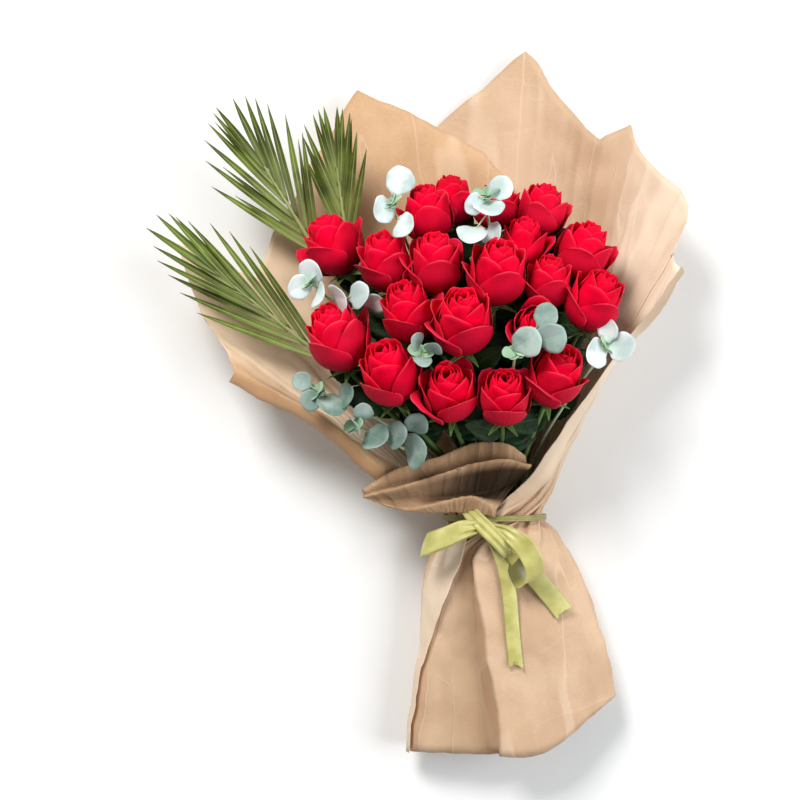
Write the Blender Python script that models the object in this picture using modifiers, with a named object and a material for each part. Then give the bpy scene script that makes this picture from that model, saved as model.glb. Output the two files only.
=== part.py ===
"""A wrapped bouquet of red roses, lying on its back with its front facing up.

The cut stems point to -Y, the flowers to +Y, and the surface it lies on is Z = 0.
Twenty roses, eight sprays of eucalyptus and three palm fronds run side by side
through a string tie in the neck. Two sheets of kraft paper wrap them, a ruffled
collar covers the front of the neck, and a satin ribbon ties the paper.

Lengths below are millimetres and angles are degrees. Meshes are built in metres.
"""

import math
import random

import bmesh
import bpy
from mathutils import Matrix, Vector

MM = 0.001

# The neck, where everything is tied: its centre, and the ring that each layer fills
NECK = Vector((74, -115, 40))
STEM_RADIUS = 2.6
SLOT_ACROSS = 5.2
SLOT_UP = 5.5
SLOT_COLUMNS = (2, 3, 4, 4, 5, 4, 4, 3, 2)
STEM_ENDS_Y = -304
STRING_RADIUS = 1.5
TWIG_RADII = (2.2, 2.2, 1.6, 1.5, 1.2)
STRING_RING = (26.6, 17.0)

# Paper
PAPER = 0.8
INNER_NECK_RING = (30.7, 20.8)
OUTER_NECK_RING = (41.5, 30.8)
INNER_PLEAT = 1.4
OUTER_PLEAT = 6.0
FLOOR = PAPER / 2

# Ribbon
RIBBON = 0.8
RIBBON_WIDTH = 24
BAND_WIDTH = 7
BAND_RING = (52.3, 39.4)

# Leaves
BLADE = 0.7
LEAFLET_WIDTH = 8
ROSE_LEAF = 46

# Roses: centre of the bloom (x, y, z), lean to the right, lift off the surface, width
ROSES = (
    (-82, 148, 107, -28, 16, 56),
    (-31, 127, 134, -14, 24, 50),
    (15, 124, 149, -4, 28, 50),
    (8, 173, 129, -10, 24, 48),
    (30, 192, 96, 2, 14, 46),
    (74, 185, 105, 4, 16, 44),
    (116, 181, 109, 14, 16, 48),
    (97, 145, 131, 6, 24, 43),
    (72, 115, 163, 6, 34, 54),
    (154, 138, 119, 20, 22, 52),
    (121, 108, 142, 4, 28, 43),
    (163, 90, 137, 26, 30, 52),
    (-10, 79, 156, -16, 34, 51),
    (40, 69, 173, -4, 42, 56),
    (-76, 55, 142, -22, 30, 56),
    (-28, 22, 153, -18, 42, 56),
    (28, 4, 154, -8, 50, 52),
    (78, 0, 156, 0, 48, 49),
    (126, 20, 149, 18, 42, 53),
    (107, 68, 161, 14, 74, 42),
)
BLOOM_WIDTH = 52
BLOOM_HEIGHT = 55
HIP_GAP = 0.3

MATERIALS = {
    # colour, roughness, metallic
    "petal_red": ((0.62, 0.005, 0.03, 1), 0.55, 0.0),
    "stem_green": ((0.12, 0.22, 0.06, 1), 0.6, 0.0),
    "eucalyptus_leaf": ((0.36, 0.52, 0.48, 1), 0.6, 0.0),
    "palm_green": ((0.16, 0.24, 0.06, 1), 0.5, 0.0),
    "kraft_paper": ((0.66, 0.44, 0.29, 1), 0.85, 0.0),
    "satin_ribbon": ((0.50, 0.50, 0.14, 1), 0.35, 0.0),
    "twine": ((0.55, 0.45, 0.30, 1), 0.9, 0.0),
}


def start_empty():
    """Removes what the opened scene holds and makes the bouquet's collection."""
    for obj in list(bpy.data.objects):
        bpy.data.objects.remove(obj)
    collection = bpy.data.collections.new("wrapped_rose_bouquet")
    bpy.context.scene.collection.children.link(collection)
    return collection


def make_material(name):
    """A plain material of that name, made once."""
    if name in bpy.data.materials:
        return bpy.data.materials[name]
    colour, roughness, metallic = MATERIALS[name]
    material = bpy.data.materials.new(name)
    material.use_nodes = True
    shader = material.node_tree.nodes["Principled BSDF"]
    shader.inputs["Base Color"].default_value = colour
    shader.inputs["Roughness"].default_value = roughness
    shader.inputs["Metallic"].default_value = metallic
    return material


def add_object(name, data, material, collection):
    """Puts a mesh or curve in the collection as an object."""
    obj = bpy.data.objects.new(name, data)
    data.materials.clear()
    data.materials.append(make_material(material))
    collection.objects.link(obj)
    return obj


def evaluated_mesh(obj, weld=0.001):
    """The object's mesh with its modifiers applied and its close points welded."""
    graph = bpy.context.evaluated_depsgraph_get()
    mesh = bpy.data.meshes.new_from_object(obj.evaluated_get(graph), depsgraph=graph)
    bm = bmesh.new()
    bm.from_mesh(mesh)
    bmesh.ops.remove_doubles(bm, verts=bm.verts, dist=weld * MM)
    bmesh.ops.recalc_face_normals(bm, faces=bm.faces)
    bm.to_mesh(mesh)
    bm.free()
    return mesh


def plate(name, grid, thickness, material, collection):
    """A thin sheet on a grid of points, its triangles alike on both sides."""
    bm = bmesh.new()
    rows = [[bm.verts.new(Vector(point) * MM) for point in row] for row in grid]
    for low, high in zip(rows, rows[1:]):
        for a, b, c, d in zip(low, low[1:], high[1:], high):
            bm.faces.new((a, b, c, d))
    bmesh.ops.remove_doubles(bm, verts=bm.verts, dist=1e-6)
    bmesh.ops.triangulate(bm, faces=bm.faces)
    mesh = bpy.data.meshes.new(name)
    bm.to_mesh(mesh)
    bm.free()
    obj = add_object(name, mesh, material, collection)
    solidify = obj.modifiers.new("Thickness", "SOLIDIFY")
    solidify.thickness = thickness * MM
    solidify.offset = 0
    return obj


def tube(name, points, radius, material, collection, closed=False, sides=1):
    """A round rod along the points; radius may be one number or one for each point."""
    curve = bpy.data.curves.new(name, "CURVE")
    curve.dimensions = "3D"
    curve.bevel_depth = MM
    curve.bevel_resolution = sides
    curve.use_fill_caps = not closed
    spline = curve.splines.new("POLY")
    spline.points.add(len(points) - 1)
    for i, point in enumerate(points):
        spline.points[i].co = (*(Vector(point) * MM), 1)
        spline.points[i].radius = radius[i] if isinstance(radius, (list, tuple)) else radius
    spline.use_cyclic_u = closed
    return add_object(name, curve, material, collection)


def fuse(name, body, pieces, material, collection, weld=0.001):
    """One mesh object from a body and the pieces that grow from it."""
    parts = bpy.data.collections.new(name + "_pieces")
    bpy.context.scene.collection.children.link(parts)
    for piece in pieces:
        mesh = evaluated_mesh(piece)
        parts.objects.link(bpy.data.objects.new(piece.name + "_mesh", mesh))
        bpy.data.objects.remove(piece)
    mesh = evaluated_mesh(body)
    bpy.data.objects.remove(body)
    whole = bpy.data.objects.new(name, mesh)
    collection.objects.link(whole)
    union = whole.modifiers.new("Union", "BOOLEAN")
    union.operation = "UNION"
    union.operand_type = "COLLECTION"
    union.collection = parts
    union.solver = "MANIFOLD"
    mesh = evaluated_mesh(whole, weld)
    whole.modifiers.clear()
    whole.data = mesh
    mesh.materials.clear()
    mesh.materials.append(make_material(material))
    for piece in list(parts.objects):
        bpy.data.objects.remove(piece)
    bpy.data.collections.remove(parts)
    return whole


def direction(lean, lift):
    """The unit vector that leans from +Y to +X and lifts off the surface."""
    lean, lift = math.radians(lean), math.radians(lift)
    return Vector(
        (math.cos(lift) * math.sin(lean), math.cos(lift) * math.cos(lean), math.sin(lift))
    )


def upright_matrix(place, axis, turn=0.0, scale=1.0):
    """Stands a shape built along +Z at the place, along the axis."""
    spin = Vector((0, 0, 1)).rotation_difference(axis).to_matrix().to_4x4()
    return (
        Matrix.Translation(place * MM)
        @ spin
        @ Matrix.Rotation(math.radians(turn), 4, "Z")
        @ Matrix.Scale(scale, 4)
    )


def hermite(start, end, leave, arrive, steps):
    """Points along a smooth curve, with the ways it leaves and arrives as vectors."""
    points = []
    for i in range(steps + 1):
        t = i / steps
        points.append(
            start * (2 * t**3 - 3 * t**2 + 1)
            + leave * (t**3 - 2 * t**2 + t)
            + end * (3 * t**2 - 2 * t**3)
            + arrive * (t**3 - t**2)
        )
    return points


def along(points, share):
    """The point at a share (0 to 1) of the way along a list of points."""
    place = share * (len(points) - 1)
    i = min(int(place), len(points) - 2)
    return Vector(points[i]).lerp(Vector(points[i + 1]), place - i)


# Roses

BLOOM_KINDS = (
    # seed, openness of the outer petals, their height, how many
    (3, 1.00, 1.00, 4),
    (8, 0.93, 1.04, 4),
    (15, 1.03, 0.97, 4),
    (21, 0.96, 1.00, 3),
)
ROSE_KINDS = (0, 1, 1, 0, 3, 3, 1, 3, 2, 0, 3, 1, 1, 2, 0, 2, 0, 1, 2, 3)


def petal_grid(turn, profile, half_arc, spiral, rounding, across=4):
    """A petal wrapped round the bloom's axis, one edge tucked in and one outside."""
    grid = []
    for j, (radius, height, width) in enumerate(profile):
        row = []
        v = j / (len(profile) - 1)
        for i in range(across):
            u = -1 + 2 * i / (across - 1)
            angle = math.radians(turn + u * half_arc * width)
            reach = radius + spiral * u * min(1, 3 * v)
            lowered = rounding * u * u * v * v
            row.append((reach * math.cos(angle), reach * math.sin(angle), height - lowered))
        grid.append(row)
    return grid


def bloom_core(name, collection):
    """The tight heart of the bloom, with a flat seat and a sunken tip."""
    levels = ((0, 0), (7.2, 0), (17, 14), (17.8, 30), (15.5, 45), (0, 41))
    bm = bmesh.new()
    bmesh.ops.create_uvsphere(bm, u_segments=6, v_segments=len(levels) - 1, radius=1)
    for vert in bm.verts:
        level = round(math.acos(-max(-1.0, min(1.0, vert.co.z))) / math.pi * (len(levels) - 1))
        radius, height = levels[level]
        around = math.atan2(vert.co.y, vert.co.x)
        vert.co = Vector((math.cos(around) * radius, math.sin(around) * radius, height)) * MM
    mesh = bpy.data.meshes.new(name)
    bm.to_mesh(mesh)
    bm.free()
    return add_object(name, mesh, "petal_red", collection)


def build_bloom(kind, collection):
    """A half-open rose: a heart, three inner petals and four outer ones with turned rims."""
    seed, openness, tallness, outer = BLOOM_KINDS[kind]
    draw = random.Random(seed)
    pieces = []
    for k in range(3):
        profile = ((11.0, 39, 0.9), (14.5 + draw.uniform(-0.6, 0.6), 55, 0.95))
        grid = petal_grid(120 * k + draw.uniform(-6, 6), profile, 52, 1.6, 4, across=3)
        pieces.append(plate("inner_petal", grid, 0.8, "petal_red", collection))
    for k in range(outer):
        rim = 27 * openness + draw.uniform(-1.5, 1.0)
        top = (46 + draw.uniform(-3, 3)) * tallness
        profile = ((8, 5, 0.5), (23.5 * openness, 26, 1.05), (rim, top, 0.85))
        arc = 216 / outer
        grid = petal_grid(360 / outer * k + 25 + draw.uniform(-5, 5), profile, arc, 1.8, 8)
        pieces.append(plate("outer_petal", grid, 0.8, "petal_red", collection))
    core = bloom_core("heart", collection)
    bloom = fuse("bloom_%d" % kind, core, pieces, "petal_red", collection, weld=0.5)
    mesh = bloom.data
    bpy.data.objects.remove(bloom)
    return mesh


def stem_slots(targets):
    """A place in the tied bundle for each stem, in the order of the ways they lead."""
    def bearing(i):
        way = targets[i] - NECK
        return math.atan2(way.x, way.y)

    def rise(i):
        way = targets[i] - NECK
        return way.z / math.hypot(way.x, way.y)

    order = sorted(range(len(targets)), key=bearing)
    slots = {}
    middle = (len(SLOT_COLUMNS) - 1) / 2
    for column, count in enumerate(SLOT_COLUMNS):
        chosen = sorted(order[:count], key=rise)
        order = order[count:]
        for level, i in enumerate(chosen):
            slots[i] = Vector(
                (
                    NECK.x + (column - middle) * SLOT_ACROSS,
                    NECK.y,
                    NECK.z + (level - (count - 1) / 2) * SLOT_UP,
                )
            )
    return slots


def stem_route(slot, end, arrive, reach=0.55):
    """From the cut end, through the tie, to where the stem's head or tip is."""
    away = slot - NECK
    cut = NECK + Vector((away.x * 1.5 + 8, 0, away.z * 1.05 - 7))
    cut.y = STEM_ENDS_Y + (away.x * 7 + away.z * 5) % 9
    run = (end - slot).length
    leave = ((end - slot).normalized() * 0.3 + Vector((0, 0.7, 0))) * run
    return [cut] + hermite(slot, end, leave, arrive * run * reach, 3)


def blade(name, outline, thickness, material, collection):
    """A thin leaf with that outline of points, fanned from its root, the first point."""
    bm = bmesh.new()
    verts = [bm.verts.new(Vector(point) * MM) for point in outline]
    for a, b in zip(verts[1:], verts[2:]):
        bm.faces.new((verts[0], a, b))
    mesh = bpy.data.meshes.new(name)
    bm.to_mesh(mesh)
    bm.free()
    obj = add_object(name, mesh, material, collection)
    solidify = obj.modifiers.new("Thickness", "SOLIDIFY")
    solidify.thickness = thickness * MM
    solidify.offset = 0
    return obj


def leaf_outline(root, way, facing, length, width):
    """A pointed oval leaf, its two halves folded up a little from the midrib."""
    side = way.cross(facing).normalized()
    up = side.cross(way).normalized()
    points = [root]
    for share, wide in ((0.28, 0.85), (0.62, 0.9), (1, 0), (0.62, -0.9), (0.28, -0.85)):
        across = side * (width / 2 * wide)
        points.append(root + way * (length * share) + across + up * (abs(wide) * width * 0.12))
    return points


def build_hip(place, collection):
    """The hip under a bloom, its rim drawn out into five pointed sepals."""
    bm = bmesh.new()
    bmesh.ops.create_cone(
        bm, cap_ends=True, segments=10, radius1=3.2 * MM, radius2=6.5 * MM, depth=9 * MM
    )
    rim = sorted((v for v in bm.verts if v.co.z > 0), key=lambda v: math.atan2(v.co.y, v.co.x))
    for vert in rim[::2]:
        vert.co.x *= 2.7
        vert.co.y *= 2.7
        vert.co.z -= 7 * MM
    bmesh.ops.transform(bm, matrix=place, verts=bm.verts)
    mesh = bpy.data.meshes.new("hip")
    bm.to_mesh(mesh)
    bm.free()
    return add_object("hip", mesh, "stem_green", collection)


def build_stem(name, route, axis, leaves, collection):
    """A rose's green parts: its stem, the hip with its sepals, and its leaves."""
    pieces = [build_hip(upright_matrix(route[-1] + axis * 4.5, axis), collection)]
    for share, turn in leaves:
        root = along(route[1:], share)
        tangent = (along(route[1:], share + 0.03) - root).normalized()
        out = direction(turn, 25)
        way = (tangent * 0.5 + out).normalized()
        outline = leaf_outline(root, way, Vector((0, 0, 1)), ROSE_LEAF, ROSE_LEAF * 0.58)
        pieces.append(blade("leaf", outline, BLADE, "stem_green", collection))
    body = tube(name, route, STEM_RADIUS, "stem_green", collection)
    return fuse(name, body, pieces, "stem_green", collection)


# Eucalyptus: the twig's tip, the lean and lift of the twig there, and its round leaves
# as the middle (x, y, z) and the radius of each
SPRAYS = (
    ((-27, 184, 152), (-18, 40), ((-19, 206, 153, 13), (-33, 180, 158, 13), (-15, 163, 162, 13))),
    ((62, 192, 152), (-14, 50), ((64, 181, 158, 14), (48, 154, 172, 14), (76, 199, 153, 12))),
    (
        (-104, 112, 136), (-50, 35),
        ((-103, 117, 141, 13), (-95, 99, 146, 13), (-76, 96, 152, 14), (-57, 98, 156, 13)),
    ),
    ((2, 44, 174), (0, 88), ((-4, 54, 186, 9), (12, 48, 190, 9), (2, 36, 184, 8))),
    ((88, 44, 180), (10, 75), ((99, 54, 190, 14), (121, 58, 194, 14), (116, 78, 196, 11))),
    ((178, 50, 144), (40, 35), ((165, 44, 152, 14), (186, 50, 150, 14), (177, 66, 150, 10))),
    (
        (-96, 8, 122), (-70, 30),
        ((-84, -4, 126, 14), (-70, 4, 128, 13), (-112, 18, 124, 9), (-104, 0, 122, 10)),
    ),
    (
        (-60, -24, 116), (-60, 40),
        ((-60, -25, 124, 12), (-42, -36, 127, 15), (-22, -33, 129, 13), (-4, -48, 124, 16)),
    ),
)


def round_leaf_outline(root, centre, radius, facing):
    """A round leaf; its first point is its root, drawn out to the twig."""
    way = (centre - root).normalized()
    side = way.cross(facing).normalized()
    up = side.cross(way).normalized()
    points = [root]
    for k in range(1, 8):
        angle = math.pi + 2 * math.pi * k / 8
        across = math.sin(angle)
        point = centre + way * (radius * math.cos(angle)) + side * (radius * across)
        points.append(point + up * (radius * 0.15 * across * across))
    return points


def build_spray(name, route, leaves, collection):
    """A pale twig with its round leaves."""
    draw = random.Random(len(leaves) * 7 + round(route[-1].x))
    pieces = []
    for x, y, z, radius in leaves:
        centre = Vector((x, y, z))
        root = min((along(route, k / 60) for k in range(61)), key=lambda p: (p - centre).length)
        facing = Vector((draw.uniform(-0.4, 0.4), draw.uniform(-0.5, 0.3), 1)).normalized()
        if (centre - root).length < radius:
            centre = root + (centre - root).normalized() * radius
        outline = round_leaf_outline(root, centre, radius, facing)
        pieces.append(blade("round_leaf", outline, BLADE, "eucalyptus_leaf", collection))
    body = tube(name, route, TWIG_RADII, "eucalyptus_leaf", collection, sides=0)
    return fuse(name, body, pieces, "eucalyptus_leaf", collection)


# Palm: where the leaflets start on the rib, the rib's tip, the pairs of leaflets, the
# longest leaflet and how far the first pair spreads
FRONDS = (
    ((-92, 40, 90), (-196, 124, 106), 7, 100, 30),
    ((-100, 144, 66), (-150, 226, 90), 6, 92, 40),
    ((-70, 150, 56), (-80, 226, 74), 6, 76, 30),
)


def leaflet_grid(root, way, side, length, width):
    """A long narrow leaflet, pointed at its tip."""
    grid = []
    for share, wide in ((0, 0.4), (0.4, 1.0), (1, 0.0)):
        spine = root + way * (length * share) - Vector((0, 0, length * 0.07 * share * share))
        half = side * (width / 2 * wide)
        grid.append((spine - half, spine + half))
    return grid


def build_frond(name, route, start, tip, pairs, longest, spread, collection):
    """A feather palm's rib with leaflets along both sides of its outer part."""
    draw = random.Random(pairs * 31 + round(longest))
    rib_way = (tip - start).normalized()
    flat = rib_way.cross(Vector((0, 0, 1))).normalized()
    pieces = []
    for k in range(pairs):
        share = k / (pairs - 1)
        root = start.lerp(tip, share * 0.96)
        for hand in (-1, 1):
            open_by = math.radians(spread * (1 - 0.75 * share) + draw.uniform(-3, 3))
            lift = Vector((0, 0, 0.12 * hand + draw.uniform(0, 0.1)))
            out = flat * hand * math.sin(open_by)
            way = (rib_way * math.cos(open_by) + out + lift).normalized()
            side = way.cross(Vector((0, 0, 1))).normalized()
            length = longest * (0.75 + 0.25 * math.sin(math.pi * (0.2 + 0.7 * share)))
            grid = leaflet_grid(root + flat * hand * 0.9, way, side, length, LEAFLET_WIDTH)
            pieces.append(plate("leaflet", grid, BLADE, "palm_green", collection))
    radii = [STEM_RADIUS] * (len(route) - 1) + [2.2, 1.2]
    body = tube(name, route + [tip], radii, "palm_green", collection, sides=0)
    return fuse(name, body, pieces, "palm_green", collection, weld=0.3)


# Paper: each sheet has lines from the neck along its free edge, as points (x, y, z), and
# a rim of points that also have the angle round the neck where their crease starts,
# 90 at the front and -90 at the back
ROWS_UP = (0.08, 0.2, 0.38, 0.6, 0.8, 1.0)
OUTER_LINES = (
    (
        (93, -88, 86), (113, -65, 90), (144, -19, 96), (183, 37, 104), (217, 84, 110),
        (250, 130, 116),
    ),
    ((127, -72, 76), (153, -24, 82), (189, 37, 90), (238, 93, 100), (254, 122, 106)),
)
OUTER_LINE_ANGLES = (105, 80)
OUTER_RIM = (
    (242, 141, 98, 55), (257, 169, 95, 35), (259, 186, 92, 20), (250, 204, 88, 8),
    (229, 224, 78, -6), (217, 240, 70, -18), (203, 271, 54, -30), (177, 258, 36, -44),
    (160, 275, 28, -56), (146, 291, 22, -68), (124, 322, 18, -80), (106, 348, 15, -92),
    (62, 310, 8, -104), (18, 272, 5, -118), (-15, 238, 3, -132), (-46, 205, 2, -146),
    (-74, 165, 3, -160),
)
INNER_LINES = (
    ((-34, -83, 80), (-69, -52, 84), (-96, -30, 85), (-155, 2, 83), (-183, 19, 80)),
    ((-29, -73, 87), (-64, -43, 91), (-92, -20, 92), (-150, 12, 89), (-177, 28, 86)),
)
INNER_LINE_ANGLES = (112, 122)
INNER_RIM = (
    (-188, 49, 74, 136), (-213, 84, 68, 150), (-226, 117, 64, 162), (-237, 152, 60, 174),
    (-199, 135, 50, 186), (-160, 120, 42, 197), (-145, 161, 36, 208), (-108, 232, 30, 219),
    (-80, 274, 28, 229), (-61, 306, 26, 238), (-19, 289, 20, 247), (18, 272, 15, 256),
    (64, 246, 12, 266), (90, 215, 11, 277), (105, 180, 11, 288), (112, 140, 11, 299),
)

# The skirt, from the neck down: y, left and right sides, top, bottom, first and last angle
SKIRT = (
    (-130, 18, 133, 77, 3.5, 112, -240),
    (-152, 11, 150, 74, 1.5, 138, -238),
    (-181, 4, 164, 71, 0.4, 148, -230),
    (-223, 0, 179, 69, 0.4, 162, -216),
    (-266, -4, 189, 67, 0.4, 176, -202),
    (-346, -14, 194, 64, 0.4, 182, -196),
)
SKIRT_CORNER_X = 123
SKIRT_CORNER_SLOPE = 0.8


def polyline_point(points, share):
    """The point at a share of the length of a line of points."""
    points = [Vector(p) for p in points]
    runs = [(b - a).length for a, b in zip(points, points[1:])]
    left = share * sum(runs)
    for a, b, run in zip(points, points[1:], runs):
        if left <= run:
            return a.lerp(b, left / run)
        left -= run
    return points[-1]


def neck_point(angle, ring, fold=0.0):
    """A point of a ring round the neck, pushed out or in by a fold."""
    angle = math.radians(angle)
    return NECK + Vector(((ring[0] + fold) * math.cos(angle), 0, (ring[1] + fold) * math.sin(angle)))


def sheet_rows_up(lines, line_angles, rim, ring, pleat, belly):
    """Rows of a sheet from the neck to its rim, pleated at the neck and smooth above."""
    rows = []
    angles = list(line_angles) + [r[3] for r in rim]
    for share in (0.0,) + ROWS_UP:
        row = []
        for i, angle in enumerate(angles):
            fold = pleat * (1 if i % 2 else -1) * (1 - share) ** 3
            start = neck_point(angle, ring, fold)
            if i < len(lines):
                point = polyline_point((start,) + lines[i], share)
            else:
                end = Vector(rim[i - len(lines)][:3])
                point = start.lerp(end, share)
                point.z = max(FLOOR, point.z - belly * math.sin(math.pi * share) * (end.z < 40))
            row.append(point)
        rows.append(row)
    return rows


def skirt_rows(columns, pleat):
    """Rows of the skirt from its hem up to the neck; its last column laps over its first."""
    rows = []
    for level, (y, left, right, top, bottom, first, last) in enumerate(reversed(SKIRT)):
        middle, half = (left + right) / 2, (right - left) / 2
        waist = bottom + (top - bottom) * 0.45
        row = []
        for i in range(columns):
            share = i / (columns - 1)
            angle = math.radians(first + (last - first) * share)
            under = 2.6 * (1 - share) ** 4
            fold = pleat * (1 if i % 2 else -1) * (0.08 + 0.92 * (level / 6) ** 3)
            reach = 1 - under / half + fold / half
            x = middle + half * reach * math.cos(angle)
            rise = abs(math.sin(angle)) ** 0.85 * (1 if math.sin(angle) > 0 else -1)
            if rise > 0:
                z = waist + (top - under - waist) * rise * (1 + fold / 40)
            else:
                z = max(bottom, waist + (waist - bottom) * rise * 1.12)
            corner = 0.0
            if level == 0:
                corner = max(0.0, x - SKIRT_CORNER_X) * SKIRT_CORNER_SLOPE
            row.append(Vector((x, y + corner, max(z, FLOOR))))
        rows.append(row)
    return rows


def build_outer_sheet(collection):
    """The sheet behind: skirt, neck, back with its peaks, right wing and front band."""
    up = sheet_rows_up(OUTER_LINES, OUTER_LINE_ANGLES, OUTER_RIM, OUTER_NECK_RING, OUTER_PLEAT, 16)
    first, last = 105, -176
    columns = len(up[0])
    for i in range(columns):
        share = i / (columns - 1)
        fold = OUTER_PLEAT * (1 if i % 2 else -1)
        lap = 2 * (1 - share) ** 4
        up[0][i] = neck_point(first + (last - first) * share, OUTER_NECK_RING, fold - lap)
    down = skirt_rows(columns, OUTER_PLEAT)
    return plate("paper_outer_sheet", down + up, PAPER, "kraft_paper", collection)


def build_inner_sheet(collection):
    """The sheet in front: left wing with its rolled lip, left peak, and a short tail."""
    up = sheet_rows_up(INNER_LINES, INNER_LINE_ANGLES, INNER_RIM, INNER_NECK_RING, INNER_PLEAT, 2)
    tail = [point + Vector((0, -24, 0)) for point in up[0]]
    return plate("paper_inner_sheet", [tail] + up, PAPER, "kraft_paper", collection)


# The collar's folds from the one next to the flowers to the one next to the ribbon,
# each a line of points (x, y, z) from the left lobe to the right end
COLLAR = (
    ((-41, -93, 84), (0, -99, 80), (28, -106, 77), (52, -107, 75), (76, -103, 75), (100, -87, 75)),
    (
        (-56, -86, 89), (-20, -66, 96), (19, -54, 99), (51, -42, 108), (83, -42, 118),
        (101, -53, 96),
    ),
    ((-54, -90, 92), (-18, -80, 94), (19, -74, 95), (52, -66, 99), (84, -60, 111), (103, -62, 90)),
    (
        (-55, -93, 96), (-21, -84, 102), (19, -71, 107), (52, -61, 111), (83, -56, 120),
        (107, -63, 95),
    ),
    ((-48, -95, 91), (-16, -96, 89), (19, -98, 86), (48, -96, 86), (72, -91, 84), (96, -78, 82)),
    ((-44, -98, 94), (-10, -104, 97), (24, -96, 101), (48, -90, 101), (60, -96, 94), (65, -103, 88)),
    ((-30, -104, 88), (5, -109, 85), (26, -109, 85), (44, -109, 85), (56, -109, 84), (62, -109, 82)),
)


def build_collar(collection):
    """The ruffled paper in front of the neck, folded to and fro."""
    return plate("paper_collar", COLLAR, PAPER, "kraft_paper", collection)


# Ribbon: each strip is a line of middle points with the way its width points
LEFT_LOOP = (
    (
        (62, -122, 89), (42, -125, 98), (18, -134, 97), (4, -140, 89), (14, -138, 82),
        (38, -129, 83), (60, -124, 85),
    ),
    (-0.28, -0.96, 0.0),
)
RIGHT_LOOP = (
    (
        (66, -124, 90), (86, -132, 102), (104, -150, 104), (110, -168, 94), (98, -160, 84),
        (82, -142, 83), (68, -126, 85),
    ),
    (0.6, 0.5, 0.62),
)
RIGHT_TAIL = (
    ((68, -128, 84), (92, -150, 81), (112, -172, 77), (128, -191, 71), (142, -209, 67)),
    (0.8, 0.6, 0.0),
)
LONG_TAIL = (
    ((64, -130, 84), (78, -152, 80), (86, -182, 76), (90, -222, 73), (94, -262, 71)),
    (1.0, -0.1, 0.0),
)


def strip_grid(points, width_way, width, notch=0.0):
    """A ribbon's strip on its middle line; a notch cuts a V into its far end."""
    way = Vector(width_way).normalized()
    grid = []
    for i, point in enumerate(points):
        point = Vector(point)
        row = [point - way * width / 2, point + way * width / 2]
        if notch:
            row.insert(1, point)
        if notch and i == len(points) - 1:
            row[1] = point + (Vector(points[i - 1]) - point).normalized() * notch
        grid.append(row)
    return grid


def build_ribbon(collection):
    """A narrow band round the neck with a knot, two loops and two tails in front."""
    around = [k * 22.5 for k in range(16)]
    band = [
        [neck_point(angle, BAND_RING) + Vector((0, y, 0)) for angle in around + [0]]
        for y in (-BAND_WIDTH / 2, BAND_WIDTH / 2)
    ]
    pieces = [plate("band", band, RIBBON, "satin_ribbon", collection)]
    for name, (points, way), width, notch in (
        ("left_loop", LEFT_LOOP, RIBBON_WIDTH, 0),
        ("right_loop", RIGHT_LOOP, RIBBON_WIDTH, 0),
        ("right_tail", RIGHT_TAIL, RIBBON_WIDTH * 0.8, 9),
        ("long_tail", LONG_TAIL, RIBBON_WIDTH * 0.6, 7),
    ):
        grid = strip_grid(points, way, width, notch)
        pieces.append(plate(name, grid, RIBBON, "satin_ribbon", collection))
    bm = bmesh.new()
    bmesh.ops.create_uvsphere(bm, u_segments=7, v_segments=4, radius=MM)
    place = Matrix.Translation(Vector((64, -122, 85)) * MM) @ Matrix.Diagonal((10, 13, 7.6, 1))
    bmesh.ops.transform(bm, matrix=place, verts=bm.verts)
    mesh = bpy.data.meshes.new("knot")
    bm.to_mesh(mesh)
    bm.free()
    knot = add_object("knot", mesh, "satin_ribbon", collection)
    return fuse("ribbon_bow", knot, pieces, "satin_ribbon", collection)


# Leaves on the rose stems: which rose, and each leaf's share of the way up and its turn
ROSE_LEAVES = {
    1: ((0.70, -60),),
    3: ((0.65, -80),),
    5: ((0.70, 20), (0.90, 40)),
    6: ((0.50, 20), (0.65, 80)),
    11: ((0.95, 120),),
    12: ((0.50, 80),),
    14: ((0.90, 80),),
    15: ((0.70, -80),),
    16: ((0.65, 0),),
    17: ((0.85, 60),),
    18: ((0.90, -100),),
    19: ((0.85, -120),),
}


def main():
    bouquet = start_empty()
    blooms = [build_bloom(kind, bouquet) for kind in range(len(BLOOM_KINDS))]

    targets = []
    for x, y, z, lean, lift, width in ROSES:
        axis = direction(lean, lift)
        scale = width / BLOOM_WIDTH
        base = Vector((x, y, z)) - axis * (BLOOM_HEIGHT * 0.5 * scale)
        targets.append((base - axis * (HIP_GAP + 9), axis, base, scale))
    ends = [target[0] for target in targets]
    ends += [Vector(tip) for tip, _, _ in SPRAYS]
    ends += [Vector(start) for start, _, _, _, _ in FRONDS]
    slots = stem_slots(ends)

    for i, (end, axis, base, scale) in enumerate(targets):
        kind = ROSE_KINDS[i]
        bloom = add_object("rose_%02d_bloom" % (i + 1), blooms[kind], "petal_red", bouquet)
        bloom.matrix_world = upright_matrix(base, axis, turn=47 * i, scale=scale)
        route = stem_route(slots[i], end, axis)
        leaves = ROSE_LEAVES.get(i + 1, ())
        build_stem("rose_%02d_stem" % (i + 1), route, axis, leaves, bouquet)

    for i, (tip, (lean, lift), leaves) in enumerate(SPRAYS):
        route = stem_route(slots[len(ROSES) + i], Vector(tip), direction(lean, lift), 0.65)
        build_spray("eucalyptus_%02d" % (i + 1), route, leaves, bouquet)

    for i, (start, tip, pairs, longest, spread) in enumerate(FRONDS):
        start, tip = Vector(start), Vector(tip)
        way = (tip - start).normalized()
        route = stem_route(slots[len(ROSES) + len(SPRAYS) + i], start, way, 0.6)
        build_frond("palm_%02d" % (i + 1), route, start, tip, pairs, longest, spread, bouquet)

    string = [neck_point(30 * k, STRING_RING) for k in range(12)]
    tube("string_tie", string, STRING_RADIUS, "twine", bouquet, closed=True, sides=0)
    build_inner_sheet(bouquet)
    build_outer_sheet(bouquet)
    build_collar(bouquet)
    build_ribbon(bouquet)


if __name__ == "__main__":
    main()
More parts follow.
